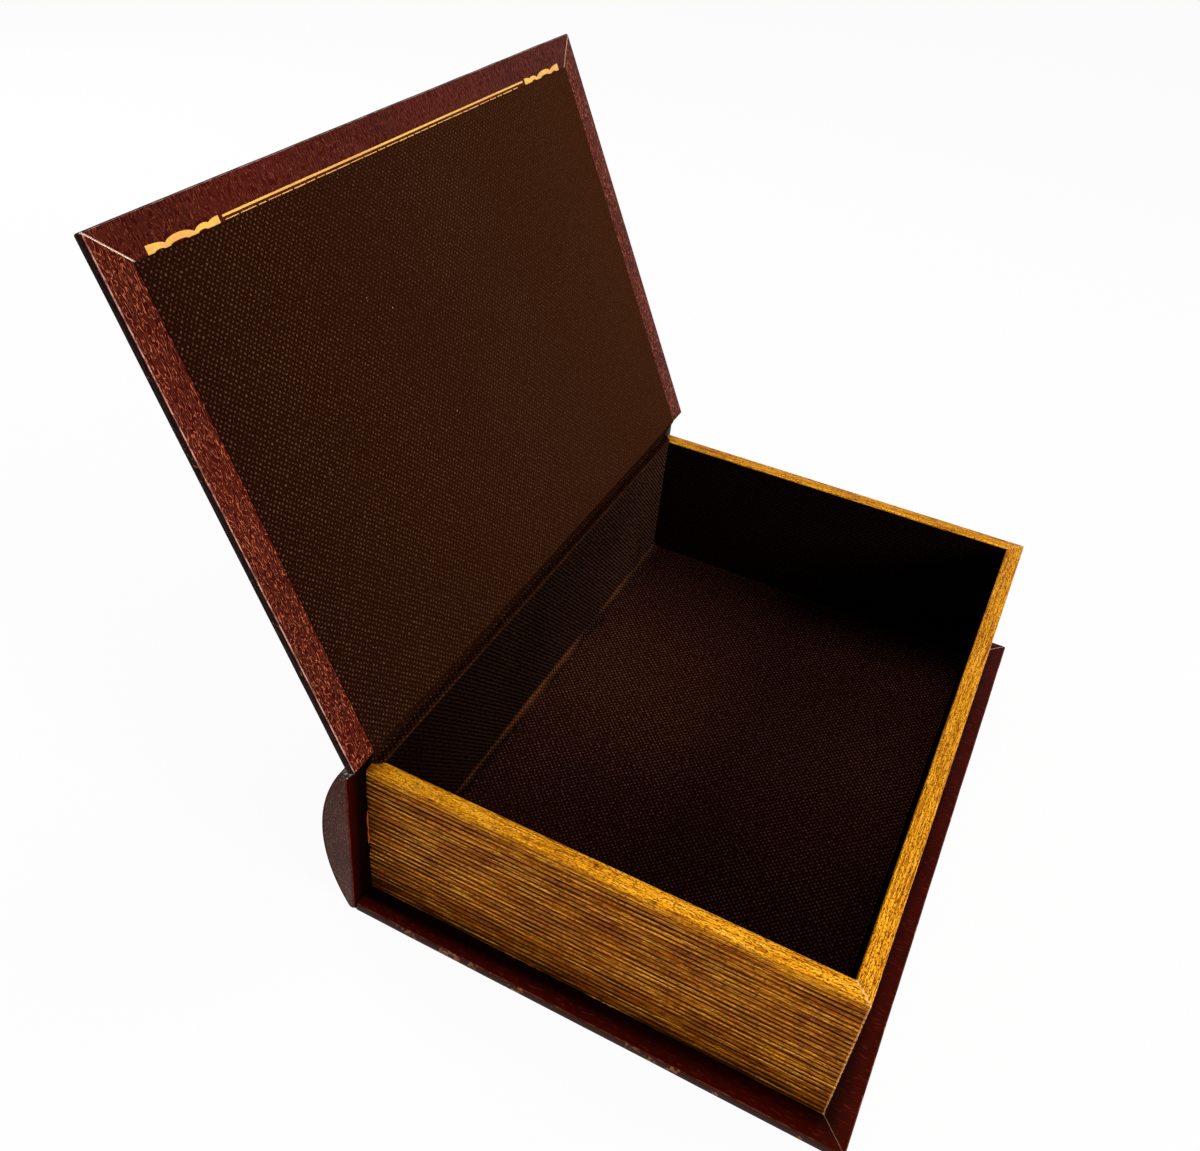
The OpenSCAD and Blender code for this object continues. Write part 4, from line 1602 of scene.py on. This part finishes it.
def bunch_up(bm, end, inwards):
    """Pushes the leather between the two layers about, most at the very end."""
    top, foot = lid_inner.z, spine_high.z - 0.6 * MM
    for vert in bm.verts:
        free = math.sin(math.pi * min(1.0, max(0.0, (vert.co.z - foot) / (top - foot))))
        near = max(0.0, 1.0 - abs(vert.co.y - end) / BUNCH_REACH)
        behind = min(1.0, max(0.0, (post_low.x + BUNCH_DEPTH - vert.co.x) / BUNCH_DEPTH))
        place = Vector((vert.co.y / (2.0 * MM), vert.co.z / (0.9 * MM), vert.co.x / (1.3 * MM)))
        push = noise.noise_vector(place) * free * near * behind * BUNCH
        vert.co += Vector((push.x, inwards * abs(push.y), push.z * 0.6))


def turned_end(end, inwards):
    """One end, folded together. Inwards is 1 at the tail and -1 at the head."""
    outline = curve_through(outer_fold, 4) + inside_spine + curve_through(inner_fold, 4)[::-1]
    bm = bar(outline, end, inwards * TURNED_END)
    eased(bm, [e for e in bm.edges if all(abs(v.co.y - end) < MM / 100 for v in e.verts)], 0.22 * MM, 2)
    cap = [f for f in bm.faces if len(f.verts) > 12 and abs(f.calc_center_median().y - end) < MM]
    made = bmesh.ops.triangulate(bm, faces=cap)
    cap_edges = list(dict.fromkeys(e for f in made["faces"] for e in f.edges))
    bmesh.ops.subdivide_edges(bm, edges=cap_edges, cuts=2, use_grid_fill=True)
    other_end = end + inwards * TURNED_END
    score_rows(bm, ALONG_Y, min(end, other_end), max(end, other_end), 1.2 * MM)
    bunch_up(bm, end, inwards)
    bmesh.ops.recalc_face_normals(bm, faces=bm.faces[:])
    for face in bm.faces:
        at_end = abs(face.calc_center_median().y - end) < 0.9 * MM
        face.material_index = 1 if abs(face.normal.y) > 0.5 or at_end and face.normal.x < 0.2 else 0
    map_leather(bm)
    return bm


def make_joint_leather():
    parts = (("joint_leather", single_leather(), [fold_leather_painted_light]),
             ("tail_joint_leather", turned_end(joint_low.y, 1), [fold_leather_painted_light, bunched_leather_painted_light]),
             ("head_joint_leather", turned_end(joint_high.y, -1), [fold_leather_painted_light, bunched_leather_painted_light]))
    for name, bm, hides in parts:
        piece = finished(name, bm, hides, None, ["hinge_leather"], math.radians(60))
        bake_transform(piece, "box", "lid", start=(post_low.x, 0.0, shoulder - 0.3 * MM), end=tuple(skin_middle))


make_joint_leather()

# %% [markdown]
# ## Gold border
# A band of scallops was tooled in gold leaf on the lid's turned-in fore-edge,
# and the lining was then pasted half over it. What shows is a line between two
# scalloped ends, with dark arches where the pattern's own gaps lie, and the
# dashes of a second line that the cloth almost hides. The gold could be a mask
# in the leather, but it stands up a little and has its own shine. So each end is
# a strip of small faces whose upper and lower edges follow a formula. A scallop
# is (start, end, height at each, rise), and an arch is (start, end, rise), all
# in millimetres from the end of the piece.

# %% Scallops and arches
SCALLOPS = [(-7.0, 7.0, 1.1, 1.15, 1.4), (7.0, 18.2, 1.15, 0.7, 1.5), (18.2, 24.0, 0.7, 1.4, 0.95),
            (24.0, 32.8, 1.4, 1.2, 0.95)]
ARCHES = [(2.4, 6.1, 0.45), (8.4, 15.2, 0.6), (19.4, 23.0, 0.5)]
UNDER_CLOTH = -0.6 * MM


def bulge(t, power):
    """0 at both ends of a stretch and 1 in its middle."""
    return (1 - (2 * t - 1) ** 2) ** power


def scallop_top(u):
    """Height of the gold's upper edge, from the lining's edge."""
    for start, end, foot, next_foot, rise in SCALLOPS:
        if start <= u / MM <= end:
            t = (u / MM - start) / (end - start)
            return (foot * (1 - t) + next_foot * t + rise * bulge(t, 0.6)) * MM
    return 0.0


def arch_top(u):
    """Height of the dark arches along its lower edge."""
    for start, end, rise in ARCHES:
        if start <= u / MM <= end:
            return rise * MM * bulge((u / MM - start) / (end - start), 0.5)
    return UNDER_CLOTH


def rough(level, seed):
    """An edge that wavers about a level."""
    return lambda u: level + 0.05 * MM * ripple(u / (1.5 * MM), seed)


print("the first scallop is", round(scallop_top(0.0) / MM, 2), "mm high")

# %% Strips of leaf
PIECE_LENGTH = 28.4 * MM
END_FROM_EDGE = 16.5 * MM
LINE_CLEAR, LINE_WIDE = 1.22 * MM, 0.66 * MM
LINE_GAP = 1.6 * MM
DASH_TOP = 0.44 * MM
FOIL_LIFT = 0.07 * MM


def foil_strip(start, end, steps, bottom, top, side):
    """A strip of leaf along Y. Heights run from the lining's edge towards the lid's fore-edge."""
    bm = bmesh.new()
    bmesh.ops.create_grid(bm, x_segments=steps, y_segments=1, size=0.5)
    for vert in bm.verts:
        u = start + (vert.co.x + 0.5) * (end - start)
        height = top(u - start) if vert.co.y > 0 else bottom(u - start)
        vert.co = Vector((foil_low.x + height, side * (-lid_size.y / 2 + u), lid_low.z - FOIL_LIFT))
    face_towards(bm, Vector((0, 0, -1)))
    thickened(bm, FOIL_LIFT)
    return bm


def add_to(target, part):
    """Joins one bmesh to another."""
    mesh = bpy.data.meshes.new("part")
    part.to_mesh(mesh)
    part.free()
    target.from_mesh(mesh)
    bpy.data.meshes.remove(mesh)


def gild():
    chance = random.Random(5)
    bm = bmesh.new()
    for side in (1, -1):
        add_to(bm, foil_strip(END_FROM_EDGE, END_FROM_EDGE + PIECE_LENGTH, 90, arch_top, scallop_top, side))
    line_start = END_FROM_EDGE + PIECE_LENGTH + LINE_GAP
    line_end = lid_size.y - line_start
    line_top = LINE_CLEAR + LINE_WIDE
    add_to(bm, foil_strip(line_start, line_end, 240, rough(LINE_CLEAR, 1.0), rough(line_top, 2.0), 1))
    place = line_start + 0.6 * MM
    while place < line_end - 8 * MM:
        length = chance.uniform(3.2, 7.0) * MM
        low = chance.uniform(0.12, 0.24) * MM
        add_to(bm, foil_strip(place, place + length, 6, rough(low, place), rough(DASH_TOP, place + 1), 1))
        place += length + chance.uniform(0.5, 1.2) * MM
    moved(bm, laid_back)
    finished("gold_border_leaf", bm, [tooled_gold], "lid", ["gilt_border"])


gild()

# %% [markdown]
# Between the spine and the end of the tail wall, a few thin slivers of glue and
# wood fill the joint. They could be left out, but they catch the light in the
# dark gap. Each is a round stick that tapers to both ends and bends a little.

# %% Slivers in the joint at the tail
SLIVER_CUTS = 8


def sliver(low, high, width, seed):
    """A thin upright sliver, thinner towards both ends."""
    bm = bmesh.new()
    bmesh.ops.create_circle(bm, cap_ends=True, segments=8, radius=0.5)
    pushed_out(bm, (0, 0, 1))
    for i in range(1, SLIVER_CUTS):
        score(bm, Vector((0, 0, i / SLIVER_CUTS)), Vector((0, 0, 1)))
    for vert in bm.verts:
        t = vert.co.z
        taper = 0.25 + 0.75 * math.sin(math.pi * t)
        bend = ripple(t * 3, seed) * 0.25 * MM
        vert.co = Vector((post_low.x + width * (0.55 + vert.co.x * taper) + bend,
                          tail_low.y - 0.02 * MM + vert.co.y * taper * 0.35 * MM, low + (high - low) * t))
    bmesh.ops.recalc_face_normals(bm, faces=bm.faces[:])
    return bm


slivers = sliver(33 * MM, 43.5 * MM, 0.75 * MM, 1.0)
add_to(slivers, sliver(26.5 * MM, 33.5 * MM, 0.85 * MM, 2.0))
finished("glue_slivers", slivers, [amber_glue], "box", [])
